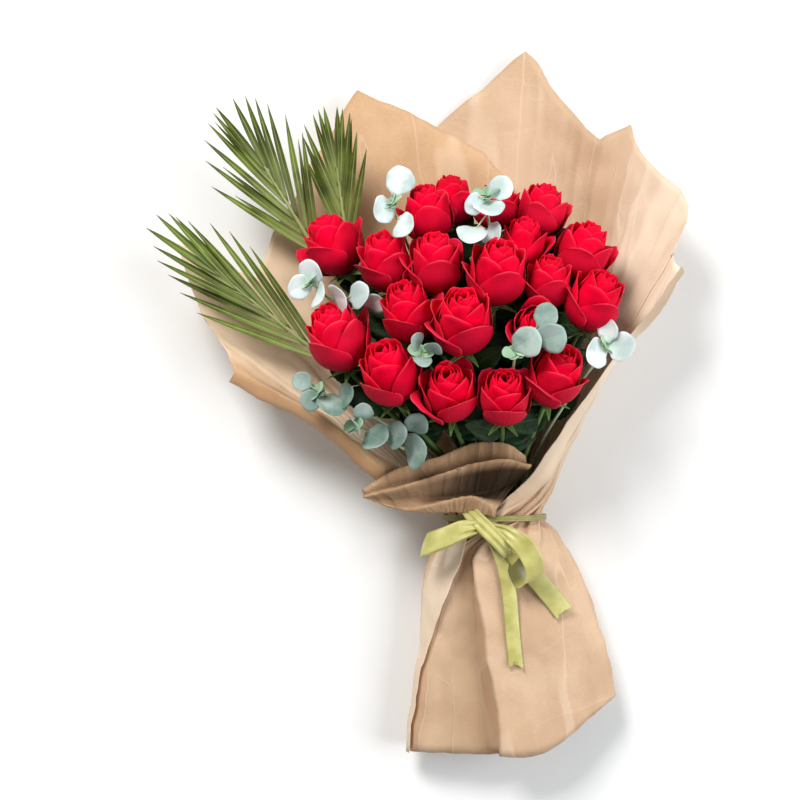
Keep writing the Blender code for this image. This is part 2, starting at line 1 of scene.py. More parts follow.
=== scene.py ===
# %% [markdown]
# # A wrapped bouquet of red roses
# The bouquet lies on its back on a pale table, and the camera looks straight down on it.
# The rough solids of every piece are loaded first, because they fix all places and sizes.
# Each cell below then makes one kind of piece finer than its solid, and gives it a finish.
# Lengths are in millimetres, angles are in degrees, and `MM` turns a length into metres.

import math
import random

import bmesh
import bpy
from mathutils import Matrix, Vector, noise


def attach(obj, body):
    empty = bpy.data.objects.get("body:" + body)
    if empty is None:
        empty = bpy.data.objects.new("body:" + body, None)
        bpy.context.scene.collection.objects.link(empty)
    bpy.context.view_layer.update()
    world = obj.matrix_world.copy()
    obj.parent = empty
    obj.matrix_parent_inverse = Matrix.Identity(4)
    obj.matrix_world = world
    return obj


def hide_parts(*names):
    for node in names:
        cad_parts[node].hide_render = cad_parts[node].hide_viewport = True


MM = 0.001

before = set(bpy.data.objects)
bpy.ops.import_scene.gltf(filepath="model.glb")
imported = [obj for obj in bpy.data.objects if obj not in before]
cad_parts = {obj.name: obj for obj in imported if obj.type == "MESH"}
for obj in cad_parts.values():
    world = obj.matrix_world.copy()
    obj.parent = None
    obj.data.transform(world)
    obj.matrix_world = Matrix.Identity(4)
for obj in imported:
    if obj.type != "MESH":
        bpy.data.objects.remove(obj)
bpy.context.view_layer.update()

# %% [markdown]
# ## The table, the light and the camera
# A bouquet is photographed from its front. Here it lies down, so its front faces up and the
# camera hangs above it. A long lens keeps the flowers, which are nearer, from looking large.
# One wide lamp at the upper left gives soft shadows, and a paler one fills them.

# %% The table, two lamps and the camera
CAMERA_HEIGHT = 2500
CAMERA_X = -19
LENS = 112.5


def soft_lamp(name, place, power, side, colour):
    """A square lamp in millimetres that shines at the middle of the bouquet."""
    light = bpy.data.lights.new(name, "AREA")
    light.energy = power
    light.color = colour
    light.size = side * MM
    lamp = bpy.data.objects.new(name, light)
    lamp.location = Vector(place) * MM
    aim = Vector((0, 20, 80)) * MM - lamp.location
    lamp.rotation_euler = aim.to_track_quat("-Z", "Y").to_euler()
    bpy.context.scene.collection.objects.link(lamp)


soft_lamp("key_lamp", (-950, 1750, 2250), 80, 1050, (1.0, 0.99, 0.97))
soft_lamp("fill_lamp", (2200, -300, 1900), 62, 2000, (0.93, 0.97, 1.0))

world = bpy.data.worlds.new("studio")
world.use_nodes = True
world.node_tree.nodes["Background"].inputs["Color"].default_value = (1.0, 0.99, 0.97, 1)
world.node_tree.nodes["Background"].inputs["Strength"].default_value = 0.30
bpy.context.scene.world = world
bpy.context.scene.view_settings.view_transform = "Standard"

camera_data = bpy.data.cameras.new("camera")
camera_data.lens = LENS
camera_data.sensor_width = 36
camera = bpy.data.objects.new("camera", camera_data)
camera.location = (CAMERA_X * MM, 0, CAMERA_HEIGHT * MM)
bpy.context.scene.collection.objects.link(camera)
bpy.context.scene.camera = camera

floor_mesh = bpy.data.meshes.new("table")
floor_bm = bmesh.new()
bmesh.ops.create_grid(floor_bm, x_segments=1, y_segments=1, size=4)
floor_bm.to_mesh(floor_mesh)
floor_bm.free()
table = bpy.data.objects.new("table", floor_mesh)
bpy.context.scene.collection.objects.link(table)
print("camera", CAMERA_HEIGHT, "mm above the table, lens", LENS, "mm")

# %% [markdown]
# ## Sums in node trees
# Materials and Geometry Nodes both do their sums in Math nodes, and a long sum is hard to
# read as a row of nodes. The class `Field` lets Python's own signs add those nodes, so that
# a rule reads in the script as it would on paper.

# %% Placing and feeding nodes, and the class for sums


def plug(tree, value, socket):
    """Feeds a socket with a field, with another socket or with a plain value."""
    if isinstance(value, Field):
        value = value.socket
    if isinstance(value, bpy.types.NodeSocket):
        tree.links.new(value, socket)
    else:
        socket.default_value = value


def add_node(tree, kind, inputs=None, **settings):
    """A node with some of its settings changed and some of its inputs fed."""
    node = tree.nodes.new(kind)
    for key, value in settings.items():
        setattr(node, key, value)
    for label, value in (inputs or {}).items():
        plug(tree, value, node.inputs[label])
    return node


class Field:
    """A value in a node tree. Signs and functions on it add nodes to the tree."""

    def __init__(self, tree, socket):
        self.tree = tree
        self.socket = socket

    def make(self, operation, other=0.0):
        """A Math node's result."""
        node = add_node(self.tree, "ShaderNodeMath", {0: self, 1: other}, operation=operation)
        return Field(self.tree, node.outputs[0])

    def ramp(self, low, high, to_low=0.0, to_high=1.0):
        """Spreads the stretch from low to high over the stretch from to_low to to_high."""
        stretch = {"From Min": low, "From Max": high, "To Min": to_low, "To Max": to_high}
        node = add_node(
            self.tree,
            "ShaderNodeMapRange",
            {"Value": self, **stretch},
            interpolation_type="SMOOTHSTEP",
        )
        return Field(self.tree, node.outputs["Result"])

    def larger(self, other):
        """The larger one of two values."""
        return self.make("MAXIMUM", other)

    def __abs__(self):
        return self.make("ABSOLUTE")

    def __add__(self, other):
        return self.make("ADD", other)

    def __sub__(self, other):
        return self.make("SUBTRACT", other)

    def __mul__(self, other):
        return self.make("MULTIPLY", other)

    def __truediv__(self, other):
        return self.make("DIVIDE", other)

    def __pow__(self, other):
        return self.make("POWER", other)

    def __neg__(self):
        return self.make("MULTIPLY", -1.0)

    def __rsub__(self, other):
        return -self + other

    __radd__ = __add__
    __rmul__ = __mul__


print("a Field is:", Field.__doc__)

# %% [markdown]
# ## Trees and nodes that come back
# Most trees here need the same few things: named inputs and outputs, a vector made of three
# values, a noise, and a mix of two colours. Each has a short helper, so that a finish is
# described by its own values and not by the wiring of its nodes.

# %% New trees, and three common nodes


def new_tree(name, kind, inputs, outputs):
    """A tree with named inputs and outputs; returns it, its inputs as fields, its outputs."""
    tree = bpy.data.node_groups.new(name, kind)
    for label, socket_type, default in inputs:
        socket = tree.interface.new_socket(name=label, in_out="INPUT", socket_type=socket_type)
        if default is not None:
            socket.default_value = default
    for label, socket_type in outputs:
        tree.interface.new_socket(name=label, in_out="OUTPUT", socket_type=socket_type)
    given = add_node(tree, "NodeGroupInput").outputs
    result = add_node(tree, "NodeGroupOutput").inputs
    return tree, {label: Field(tree, given[label]) for label, _, _ in inputs}, result


def vector(tree, x, y, z=0.0):
    """A vector made of three values."""
    return add_node(tree, "ShaderNodeCombineXYZ", {"X": x, "Y": y, "Z": z}).outputs[0]


def noise_texture(tree, place, scale, detail=3.0, roughness=0.5):
    """A noise texture's value."""
    grain = {"Vector": place, "Scale": scale, "Detail": detail, "Roughness": roughness}
    return Field(tree, add_node(tree, "ShaderNodeTexNoise", grain).outputs[0])


def blend_colours(tree, share, first, second):
    """Mixes two colours; a Mix node's sixth and seventh inputs are its colours."""
    colours = {"Factor": share, 6: first, 7: second}
    return add_node(tree, "ShaderNodeMix", colours, data_type="RGBA").outputs[2]


print("node helpers ready")

# %% [markdown]
# ## Two groups that many finishes share
# Every finish is a Principled shader fed by a few textures. Two effects come back in many of
# them, so each is a node group of its own: soft patches of a lighter and a darker tone, and
# the veins of a leaf or petal. A group only hands out colours, masks and heights, and the
# shader itself stays in the material.

# %% Soft patches and veins


def patches_group():
    """Soft patches: a mask that wanders between 0 and 1 over the piece."""
    tree, given, result = new_tree(
        "Soft Patches",
        "ShaderNodeTree",
        (
            ("Vector", "NodeSocketVector", None),
            ("Scale", "NodeSocketFloat", 20.0),
            ("Light Colour", "NodeSocketColor", (0.8, 0.8, 0.8, 1)),
            ("Dark Colour", "NodeSocketColor", (0.4, 0.4, 0.4, 1)),
        ),
        (("Colour", "NodeSocketColor"), ("Mask", "NodeSocketFloat")),
    )
    mask = noise_texture(tree, given["Vector"], given["Scale"]).ramp(0.32, 0.68)
    colour = blend_colours(tree, mask, given["Dark Colour"], given["Light Colour"])
    plug(tree, colour, result["Colour"])
    plug(tree, mask, result["Mask"])
    return tree


def veins_group():
    """Veins: one along the middle, and side veins that slant up from it."""
    tree, given, result = new_tree(
        "Veins",
        "ShaderNodeTree",
        (
            ("Across", "NodeSocketFloat", None),
            ("Up", "NodeSocketFloat", None),
            ("Side Veins", "NodeSocketFloat", 8.0),
            ("Slant", "NodeSocketFloat", 0.35),
            ("Width", "NodeSocketFloat", 0.1),
        ),
        (("Middle Vein", "NodeSocketFloat"), ("All Veins", "NodeSocketFloat")),
    )
    off_middle = abs(given["Across"])
    middle = off_middle.ramp(0.0, given["Width"], 1.0, 0.0)
    place = given["Up"] - off_middle * given["Slant"]
    waves = (place * given["Side Veins"]).make("PINGPONG", 0.5)
    side = waves.ramp(0.0, given["Width"] * 1.3, 1.0, 0.0)
    plug(tree, middle, result["Middle Vein"])
    plug(tree, middle.larger(side * 0.6), result["All Veins"])
    return tree


PATCHES = patches_group()
VEINS = veins_group()
print("shared groups:", PATCHES.name, "and", VEINS.name)

# %% [markdown]
# ## Helpers for materials
# A material starts as an empty Principled shader. Its patterns read the point's place on the
# piece, or the values `across` and `up` that each sheet and leaf stores on its own points, so
# that a pattern stays on its piece in every view. The table is the first thing to be painted.

# %% Helpers for materials, and the table's finish


def new_material(name, roughness, sheen=0.0, specular=0.5):
    """A material with an empty Principled shader; returns it with its tree and shader."""
    material = bpy.data.materials.new(name)
    material.use_nodes = True
    tree = material.node_tree
    shader = tree.nodes["Principled BSDF"]
    shader.inputs["Roughness"].default_value = roughness
    shader.inputs["Sheen Weight"].default_value = sheen
    shader.inputs["Specular IOR Level"].default_value = specular
    return material, tree, shader


def object_place(tree):
    """The point's place on the piece, in metres."""
    return add_node(tree, "ShaderNodeTexCoord").outputs["Object"]


def attribute(tree, name):
    """A number stored on the mesh's points, as a material reads it."""
    return Field(tree, add_node(tree, "ShaderNodeAttribute", attribute_name=name).outputs["Fac"])


def use_group(tree, group, values):
    """Sets a shared group in a material with its own values; returns its outputs as fields."""
    node = add_node(tree, "ShaderNodeGroup", values, node_tree=group)
    return [Field(tree, socket) for socket in node.outputs]


def use_patches(tree, place, scale, light, dark):
    """Soft patches with their own size and tones: their colour and their mask."""
    values = {"Vector": place, "Scale": scale, "Light Colour": light, "Dark Colour": dark}
    return use_group(tree, PATCHES, values)


def use_veins(tree, side_veins, slant, width):
    """The middle vein and all veins, fed by the piece's own across and up values."""
    values = {"Across": attribute(tree, "across"), "Up": attribute(tree, "up")}
    values.update({"Side Veins": side_veins, "Slant": slant, "Width": width})
    return use_group(tree, VEINS, values)


def bump(tree, shader, height, distance, strength=1.0):
    """Makes a height in millimetres show in the shader's normal."""
    relief = {"Distance": distance * MM, "Strength": strength, "Height": height}
    node = add_node(tree, "ShaderNodeBump", relief)
    plug(tree, node.outputs["Normal"], shader.inputs["Normal"])


table_material, _, table_shader = new_material("pale_table", 0.9)
table_shader.inputs["Base Color"].default_value = (0.88, 0.88, 0.88, 1)
table.data.materials.append(table_material)
print("the table is painted with", table_material.name)

# %% [markdown]
# ## From a node tree to a finished piece
# A finished piece is a plain mesh whose object sits at the origin. `bake` applies what a
# modifier or a node tree makes, and `hand_over` hangs a piece on the bouquet and hides the
# solids that it stands for.

# %% Helpers for pieces


def show(name, data):
    """Puts a mesh or curve in the scene."""
    obj = bpy.data.objects.new(name, data)
    bpy.context.scene.collection.objects.link(obj)
    return obj


def bake(obj, matrix=None):
    """The object as a plain mesh with its modifiers applied, moved to its place."""
    graph = bpy.context.evaluated_depsgraph_get()
    mesh = bpy.data.meshes.new_from_object(
        obj.evaluated_get(graph), preserve_all_data_layers=True, depsgraph=graph
    )
    name = obj.name
    bpy.data.objects.remove(obj)
    mesh.name = name
    if matrix is not None:
        mesh.transform(matrix)
    mesh.shade_smooth()
    return show(name, mesh)


def hand_over(piece, slot, *nodes):
    """The piece rides on the bouquet and stands for these solids."""
    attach(piece, "root")
    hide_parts(*nodes)
    return piece


def thicken(obj, thickness):
    """Gives a sheet its thickness, half on each side."""
    modifier = obj.modifiers.new("Thickness", "SOLIDIFY")
    modifier.thickness = thickness * MM
    modifier.offset = 0


# %% [markdown]
# ## Geometry Nodes from a script
# A node tree that makes shapes is a modifier on an object. Its inputs are set by their
# identifiers, before Blender looks at the object for the first time. A tree can store a
# value on its points or copies, where a material reads it later. Each tree ends in real
# mesh, because copies that stay instances would be lost in an export.

# %% Helpers for Geometry Nodes


def geometry_tree(name, inputs):
    """A modifier's node tree with named inputs; returns it with its two ends."""
    shape = ("Geometry", "NodeSocketGeometry")
    ends = new_tree(name, "GeometryNodeTree", ((*shape, None), *inputs), (shape,))
    ends[0].is_modifier = True
    return ends


def set_inputs(obj, tree, values):
    """Adds a node tree to the object and sets the tree's inputs by their identifiers."""
    modifier = obj.modifiers.new(tree.name, "NODES")
    modifier.node_group = tree
    for item in tree.interface.items_tree:
        if item.in_out == "INPUT" and item.name in values:
            modifier[item.identifier] = values[item.name]


def store(tree, geometry, name, value, domain="POINT"):
    """Stores a field on the geometry under a name."""
    node = add_node(
        tree,
        "GeometryNodeStoreNamedAttribute",
        {"Geometry": geometry, "Name": name, "Value": value},
        data_type="FLOAT",
        domain=domain,
    )
    return node.outputs["Geometry"]


def stored(tree, name, data_type="FLOAT"):
    """Reads back a field that was stored under a name."""
    kind = "GeometryNodeInputNamedAttribute"
    node = add_node(tree, kind, {"Name": name}, data_type=data_type)
    return Field(tree, node.outputs["Attribute"])


def close_tree(tree, geometry, material, result):
    """Ends a tree: instances become real mesh, and the mesh gets its material."""
    real = add_node(tree, "GeometryNodeRealizeInstances", {"Geometry": geometry})
    paint = {"Geometry": real.outputs["Geometry"], "Material": material}
    painted = add_node(tree, "GeometryNodeSetMaterial", paint)
    plug(tree, painted.outputs["Geometry"], result["Geometry"])


print("node groups so far:", len(bpy.data.node_groups))

# %% [markdown]
# ## Where things point
# Stems, blooms and leaves all lean to a side and lift off the table. Those two angles say
# where a piece points. A matrix then turns a shape that was built standing up, so that it
# points that way from its own place.

# %% Directions


def direction(lean, lift):
    """The unit vector that leans from +Y to +X and lifts off the table."""
    lean, lift = math.radians(lean), math.radians(lift)
    flat = math.cos(lift)
    return Vector((flat * math.sin(lean), flat * math.cos(lean), math.sin(lift)))


def upright_matrix(place, axis, turn=0.0, scale=1.0):
    """Stands a shape built along +Z at the place, along the axis."""
    spin = Vector((0, 0, 1)).rotation_difference(axis).to_matrix().to_4x4()
    turned = Matrix.Rotation(math.radians(turn), 4, "Z")
    return Matrix.Translation(place * MM) @ spin @ turned @ Matrix.Scale(scale, 4)


print("the bouquet's front faces", [round(x, 3) for x in direction(0, 90)])

# %% [markdown]
# ## Rose petals
# A rose opens from the middle. Each petal starts at the flower's base, swells out round the
# ones inside it, and ends in a rim that rolls back as the petal gets older. Successive petals
# stand about 137.5 degrees apart, which is why no two cover each other exactly. One grid is
# copied once for each petal, and a rule then bends every copy by its number, so a whole
# flower comes from a handful of named sizes.

# %% The node tree that grows a rose from its petals
GOLDEN_TURN = 2.39996
PETAL_ROWS = 13
PETAL_COLUMNS = 19


def petal_tree():
    """One grid copied for each petal, and the rule that bends every copy by its number."""
    tree, given, result = geometry_tree(
        "Rose Petals",
        (
            ("Petals", "NodeSocketInt", 18),
            ("Height", "NodeSocketFloat", 55.0),
            ("Openness", "NodeSocketFloat", 1.0),
            ("Rim Roll", "NodeSocketFloat", 1.0),
            ("Seed", "NodeSocketInt", 0),
            ("Material", "NodeSocketMaterial", None),
        ),
    )
    size = {"Size X": 2, "Size Y": 1, "Vertices X": PETAL_COLUMNS, "Vertices Y": PETAL_ROWS}
    sheet = add_node(tree, "GeometryNodeMeshGrid", size)
    position = add_node(tree, "GeometryNodeInputPosition").outputs[0]
    place = add_node(tree, "ShaderNodeSeparateXYZ", {0: position}).outputs
    flat = store(tree, sheet.outputs["Mesh"], "across", place["X"])
    flat = store(tree, flat, "up", Field(tree, place["Y"]) + 0.5)
    seats = add_node(tree, "GeometryNodePoints", {"Count": given["Petals"]}).outputs[0]
    copies = add_node(tree, "GeometryNodeInstanceOnPoints", {"Points": seats, "Instance": flat})
    number = add_node(tree, "GeometryNodeInputIndex").outputs[0]
    whorl = store(tree, copies.outputs["Instances"], "petal", number, "INSTANCE")
    real = add_node(tree, "GeometryNodeRealizeInstances", {"Geometry": whorl})

    u, v, petal = [stored(tree, name) for name in ("across", "up", "petal")]
    seed = given["Seed"]
    # How far out in the flower a petal stands, from 0 for the first to 1 for the last
    outward = petal / (given["Petals"] - 1.0)
    lot = noise_texture(tree, vector(tree, petal * 5.1 + 3.0, seed * 2.3), 1.0, 0.0) - 0.5
    # How much of a turn the petal wraps round the flower, less at its top corners
    shoulders = 1.0 - v**5 * (outward * 0.27 + 0.17)
    half_arc = (2.2 - outward) * (0.45 + v * 0.75 - v * v * 0.35) * shoulders
    angle = petal * GOLDEN_TURN + lot * 0.9 + u * half_arc
    east, north = angle.make("COSINE"), angle.make("SINE")

    # Petals that lie on each other are ruffled alike, so the ruffle belongs to the direction
    spot = vector(tree, east, north, v * 0.9 + petal * 0.12 + seed * 3.7)
    late = (v - 0.68).larger(0.0) / 0.32
    ruffle = (noise_texture(tree, spot, 1.2, 1.5) - 0.5) * v * v
    frill = (noise_texture(tree, spot, 5.0, 1.0) - 0.5) * late

    # The distance from the flower's axis at the petal's foot, belly and rim, in millimetres
    rest = 1.0 - v
    side = u * u
    foot = outward * 5.0 + 2.0
    belly = outward**0.9 * 18.0 + 14.0
    rim = outward**0.8 * 13.5 + outward**4 * given["Openness"] * 6.0 + 3.0
    radius = foot * rest * rest + belly * v * rest * 2.0 + rim * v * v
    # The height, the roll of the rim, and the petal's rounded top with its small tip
    tall = given["Height"] + lot * 3.0 - outward * 4.0 - outward**3 * 9.0
    height = (v * rest * 0.6 + v * v) * tall + 1.0
    roll = outward**3 * late * late * (1.05 - side * 0.5) * given["Rim Roll"]
    radius = radius + roll * 7.5 + u * v - side * side * v * v * outward * 0.8
    radius = radius + ruffle * (outward * 3.5 + 0.8) + frill * (outward * 3.0 + 0.5)
    drop = side * (outward * 3.5 + 3.0) + side * side * (outward * 3.0 + 2.0)
    tip = (1.0 - side) ** 4 * late * (outward * 2.0 + 0.8)
    height = height - roll * 5.5 - drop * v * v + ruffle * 4.0 + frill * 3.0 + tip

    bent_place = vector(tree, radius * east * MM, radius * north * MM, height * MM)
    moved = {"Geometry": real.outputs["Geometry"], "Position": bent_place}
    shaped = add_node(tree, "GeometryNodeSetPosition", moved)
    close_tree(tree, shaped.outputs["Geometry"], given["Material"], result)
    return tree


PETALS = petal_tree()
print("petal tree:", len(PETALS.nodes), "nodes")

# %% [markdown]
# ## The red of the petals
# Red roses look like velvet. Painted shade makes the tone deepest low on each petal, where
# petals crowd together, and a painted highlight makes a thin rim read almost pink. Fine lines
# fan up each petal. A little sheen stands in for the fuzz of tiny cells that makes a petal soft.

# %% Petal material


def petal_material():
    """Deep red with painted shade low down, duller on the outer petals, and a painted highlight on
    the thin rim.
    """
    material, tree, shader = new_material("petal_velvet", 0.6, sheen=0.01, specular=0.04)
    place = object_place(tree)
    across, up = attribute(tree, "across"), attribute(tree, "up")
    age = attribute(tree, "petal") / 18.0
    red, _ = use_patches(tree, place, 45.0, (0.93, 0.0, 0.036, 1), (0.66, 0.0, 0.022, 1))
    dull = blend_colours(tree, age.ramp(0.55, 1.0) * 0.55, red, (0.58, 0.012, 0.045, 1))
    # Painted shade: the red darkens towards the foot of each petal
    painted_low_shade = blend_colours(tree, up.ramp(0.15, 0.92), (0.24, 0.0, 0.012, 1), dull)
    # Painted highlight: a thin pale rim along each petal's top and sides, stronger on older petals
    sides = abs(across).ramp(0.96, 1.0) * up.ramp(0.4, 0.8)
    rim = up.ramp(0.965, 1.0).larger(sides) * age.ramp(0.3, 1.0, 0.05, 0.45)
    painted_rim_highlight = blend_colours(tree, rim, painted_low_shade, (0.72, 0.13, 0.16, 1))
    plug(tree, painted_rim_highlight, shader.inputs["Base Color"])
    middle, _ = use_veins(tree, 1.0, 0.0, 0.06)
    fan = noise_texture(tree, vector(tree, across * 26.0, up * 1.2), 1.0, 2.0)
    bump(tree, shader, fan + middle * 0.4, 0.5, 0.6)
    return material


PETAL_RED = petal_material()
print("petals are painted with", PETAL_RED.name)

# %% [markdown]
# ## The twenty blooms
# Each row gives where the middle of a bloom is, how far it leans to the right and lifts off
# the table, and its width. The heads at the front look at the viewer and the ones behind
# point up the bouquet, so the lift falls towards the back. Openness and seed change from
# bloom to bloom, because every head in the bunch is at its own moment of opening.

# %% The places of the blooms
BLOOM_WIDTH = 52
BLOOM_HEIGHT = 55
HIP_GAP = 0.3
ROSES = (
    (-82, 148, 107, -28, 16, 56),
    (-31, 127, 134, -14, 24, 50),
    (15, 124, 149, -4, 28, 50),
    (8, 173, 129, -10, 24, 48),
    (30, 192, 96, 2, 14, 46),
    (74, 185, 105, 4, 16, 44),
    (116, 181, 109, 14, 16, 48),
    (97, 145, 131, 6, 24, 43),
    (72, 115, 163, 6, 34, 54),
    (154, 138, 119, 20, 22, 52),
    (121, 108, 142, 4, 28, 43),
    (163, 90, 137, 26, 30, 52),
    (-10, 79, 156, -16, 34, 51),
    (40, 69, 173, -4, 42, 56),
    (-76, 55, 142, -22, 30, 56),
    (-28, 22, 153, -18, 42, 56),
    (28, 4, 154, -8, 50, 52),
    (78, 0, 156, 0, 48, 49),
    (126, 20, 149, 18, 42, 53),
    (107, 68, 161, 14, 74, 42),
)


def bloom_seat(rose):
    """Where a bloom's base is, the way it points, and its scale."""
    x, y, z, lean, lift, width = rose
    axis = direction(lean, lift)
    scale = width / BLOOM_WIDTH
    return Vector((x, y, z)) - axis * (BLOOM_HEIGHT * 0.5 * scale), axis, scale


print("roses:", len(ROSES), "the widest is", max(rose[5] for rose in ROSES), "mm wide")

# %% [markdown]
# ## Growing the blooms
# Every bloom is the same node tree with its own inputs. It is baked standing up and then
# turned, scaled and moved to its place. The heads at the back lie lower and show their sides,
# so they are made a little shorter, as the photographed ones look.

# %% Blooms
PETAL_THICKNESS = 0.4
PETAL_SPREAD = 1.14
PETAL_HEIGHT = 54.0
# Heads that lift less than this many degrees are shorter, by so much for each degree
LOW_LIFT = 26
LOW_HEAD_LOSS = 0.62


def build_bloom(number, rose):
    """One bloom; its number sets its petals and chances, and its rose its place."""
    base, axis, scale = bloom_seat(rose)
    draw = random.Random(number)
    bloom = show("rose_%02d_bloom_petals" % number, bpy.data.meshes.new("petals"))
    set_inputs(
        bloom,
        PETALS,
        {
            "Petals": 17 + number % 4,
            "Height": PETAL_HEIGHT - max(0, LOW_LIFT - rose[4]) * LOW_HEAD_LOSS,
            "Openness": draw.uniform(0.88, 1.16),
            "Rim Roll": draw.uniform(0.8, 1.5),
            "Seed": number,
            "Material": PETAL_RED,
        },
    )
    thicken(bloom, PETAL_THICKNESS)
    bloom = bake(bloom, upright_matrix(base, axis, 47 * (number - 1), scale * PETAL_SPREAD))
    return hand_over(bloom, "petal_red", "rose_%02d_bloom" % number)


blooms = [build_bloom(i + 1, rose) for i, rose in enumerate(ROSES)]
print("blooms:", len(blooms), "with", sum(len(b.data.polygons) for b in blooms), "faces")

# %% [markdown]
# ## Leaves on their stems
# Leaves repeat in every green piece of the bunch: rose leaves on the stems, round leaves on
# the eucalyptus, narrow leaflets on the palm, and sepals under each bloom. Each kind is
# modelled once as a flat blade one unit long, with its fold and its edge. A second node tree
# then sets a copy of it on every point that is given, turned and sized by values stored on
# the points, with a little chance in both so that no two leaves are alike.

# %% The node tree that sets leaves on points


def leaf_tree():
    """Sets a copy of one leaf on every point, by the turn and size stored there."""
    tree, given, result = geometry_tree(
        "Leaves On Points",
        (
            ("Leaf", "NodeSocketObject", None),
            ("Size Chance", "NodeSocketFloat", 0.08),
            ("Turn Chance", "NodeSocketFloat", 0.06),
            ("Seed", "NodeSocketInt", 0),
            ("Material", "NodeSocketMaterial", None),
        ),
    )

    def vector_sum(operation, inputs):
        return add_node(tree, "ShaderNodeVectorMath", inputs, operation=operation).outputs[0]

    leaf = add_node(
        tree, "GeometryNodeObjectInfo", {"Object": given["Leaf"]}, transform_space="ORIGINAL"
    )
    chance = {"Min": (-1, -1, -1), "Seed": given["Seed"]}
    sway = add_node(tree, "FunctionNodeRandomValue", chance, data_type="FLOAT_VECTOR").outputs[0]
    swing = vector_sum("SCALE", {0: sway, "Scale": given["Turn Chance"]})
    angles = vector_sum("ADD", {0: stored(tree, "turn", "FLOAT_VECTOR"), 1: swing})
    turn = add_node(tree, "FunctionNodeEulerToRotation", {0: angles}).outputs[0]
    chance = {2: -1.0, 3: 1.0, "Seed": given["Seed"] + 5.0}
    luck = add_node(tree, "FunctionNodeRandomValue", chance, data_type="FLOAT").outputs[1]
    grown = Field(tree, luck) * given["Size Chance"] + 1.0
    size = vector_sum("SCALE", {0: stored(tree, "size", "FLOAT_VECTOR"), "Scale": grown})
    copies = add_node(
        tree,
        "GeometryNodeInstanceOnPoints",
        {
            "Points": given["Geometry"],
            "Instance": leaf.outputs["Geometry"],
            "Rotation": turn,
            "Scale": size,
        },
    )
    number = add_node(tree, "GeometryNodeInputIndex").outputs[0]
    whole = store(tree, copies.outputs["Instances"], "leaf_number", number, "INSTANCE")
    close_tree(tree, whole, given["Material"], result)
    return tree


LEAVES = leaf_tree()
print("leaf tree:", len(LEAVES.nodes), "nodes")

# %% [markdown]
# ## Blades
# A blade is a grid that is wide where the leaf is wide and comes together in a point at its
# ends, where the grid's points are merged. The grid stores how far across and how far up
# each point is, and the veins of the finish follow those two values.

# %% Grids and blades


def grid_mesh(name, rows, closed=False):
    """A sheet on rows of points in millimetres, with its across and up values stored."""
    mesh = bpy.data.meshes.new(name)
    wide = len(rows[0])
    points = [Vector(point) * MM for row in rows for point in row]
    around = wide if closed else wide - 1
    faces = []
    for j in range(len(rows) - 1):
        for i in range(around):
            k = (i + 1) % wide
            faces.append((j * wide + i, j * wide + k, (j + 1) * wide + k, (j + 1) * wide + i))
    mesh.from_pydata(points, [], faces)
    mesh.attributes.new("across", "FLOAT", "POINT")
    mesh.attributes.new("up", "FLOAT", "POINT")
    across, up = mesh.attributes["across"], mesh.attributes["up"]
    for j in range(len(rows)):
        for i in range(wide):
            across.data[j * wide + i].value = 2 * i / (wide - 1) - 1
            up.data[j * wide + i].value = j / (len(rows) - 1)
    return mesh


def merge_points(mesh, turn_outward=False):
    """Merges points that lie on each other, and may turn all faces the same way."""
    bm = bmesh.new()
    bm.from_mesh(mesh)
    bmesh.ops.remove_doubles(bm, verts=bm.verts, dist=1e-5)
    if turn_outward:
        bmesh.ops.recalc_face_normals(bm, faces=bm.faces)
    bm.to_mesh(mesh)
    bm.free()


def model_leaf(name, half_width, rows, columns, fold, droop=0.0, wave=0.0):
    """A blade one unit long that points to +Y; half_width gives its edge at each share."""
    grid = []
    for j in range(rows + 1):
        share = j / rows
        row = []
        for i in range(columns + 1):
            u = 2 * i / columns - 1
            x = u * half_width(share, u)
            lift = fold * abs(u) ** 1.3 * half_width(share, u)
            ripple = wave * abs(u) * math.sin(share * 21 + 2 * u)
            row.append(Vector((x, share, lift - droop * share * share + ripple)) / MM)
        grid.append(row)
    mesh = grid_mesh(name, grid)
    merge_points(mesh)
    return show(name, mesh)


print("grids store how far across and how far up each point is")

# %% [markdown]
# ## Setting leaves, and stalks
# To set a leaf, only a point, the way it points, the way it faces and its size are needed.
# The node tree does the rest, and each kind of leaf becomes one baked mesh. A stalk is a
# curve with a round section. The leaves and stalks of a plant are joined into one piece.

# %% Leaves on their seats, stalks, and joining
LEAF_THICKNESS = 0.4


def leaf_frame(way, facing):
    """The turn of a leaf that points along way with its face towards facing."""
    side = way.cross(facing).normalized()
    up = side.cross(way).normalized()
    return Matrix((side, way, up)).transposed().to_euler()


def set_leaves(name, leaf, seats, material, seed, size_chance, turn_chance):
    """Copies of a leaf on seats of (root, way, facing, size), as one baked mesh."""
    mesh = bpy.data.meshes.new(name)
    mesh.from_pydata([Vector(root) * MM for root, _, _, _ in seats], [], [])
    mesh.attributes.new("turn", "FLOAT_VECTOR", "POINT")
    mesh.attributes.new("size", "FLOAT_VECTOR", "POINT")
    turns, sizes = mesh.attributes["turn"], mesh.attributes["size"]
    for i, (_, way, facing, size) in enumerate(seats):
        turns.data[i].vector = leaf_frame(way, facing)
        sizes.data[i].vector = Vector(size) * MM
    obj = show(name, mesh)
    chances = {"Size Chance": size_chance, "Turn Chance": turn_chance, "Seed": seed}
    set_inputs(obj, LEAVES, {"Leaf": leaf, "Material": material, **chances})
    thicken(obj, LEAF_THICKNESS)
    return bake(obj)


def tube(name, points, radius, material, sides=3):
    """A round stalk along the points, with one radius or one for each point."""
    curve = bpy.data.curves.new(name, "CURVE")
    curve.dimensions = "3D"
    curve.bevel_depth = MM
    curve.bevel_resolution = sides
    curve.use_fill_caps = True
    spline = curve.splines.new("POLY")
    spline.points.add(len(points) - 1)
    for i, point in enumerate(points):
        spline.points[i].co = (*(Vector(point) * MM), 1)
        spline.points[i].radius = radius[i] if isinstance(radius, list) else radius
    curve.materials.append(material)
    return bake(show(name, curve))


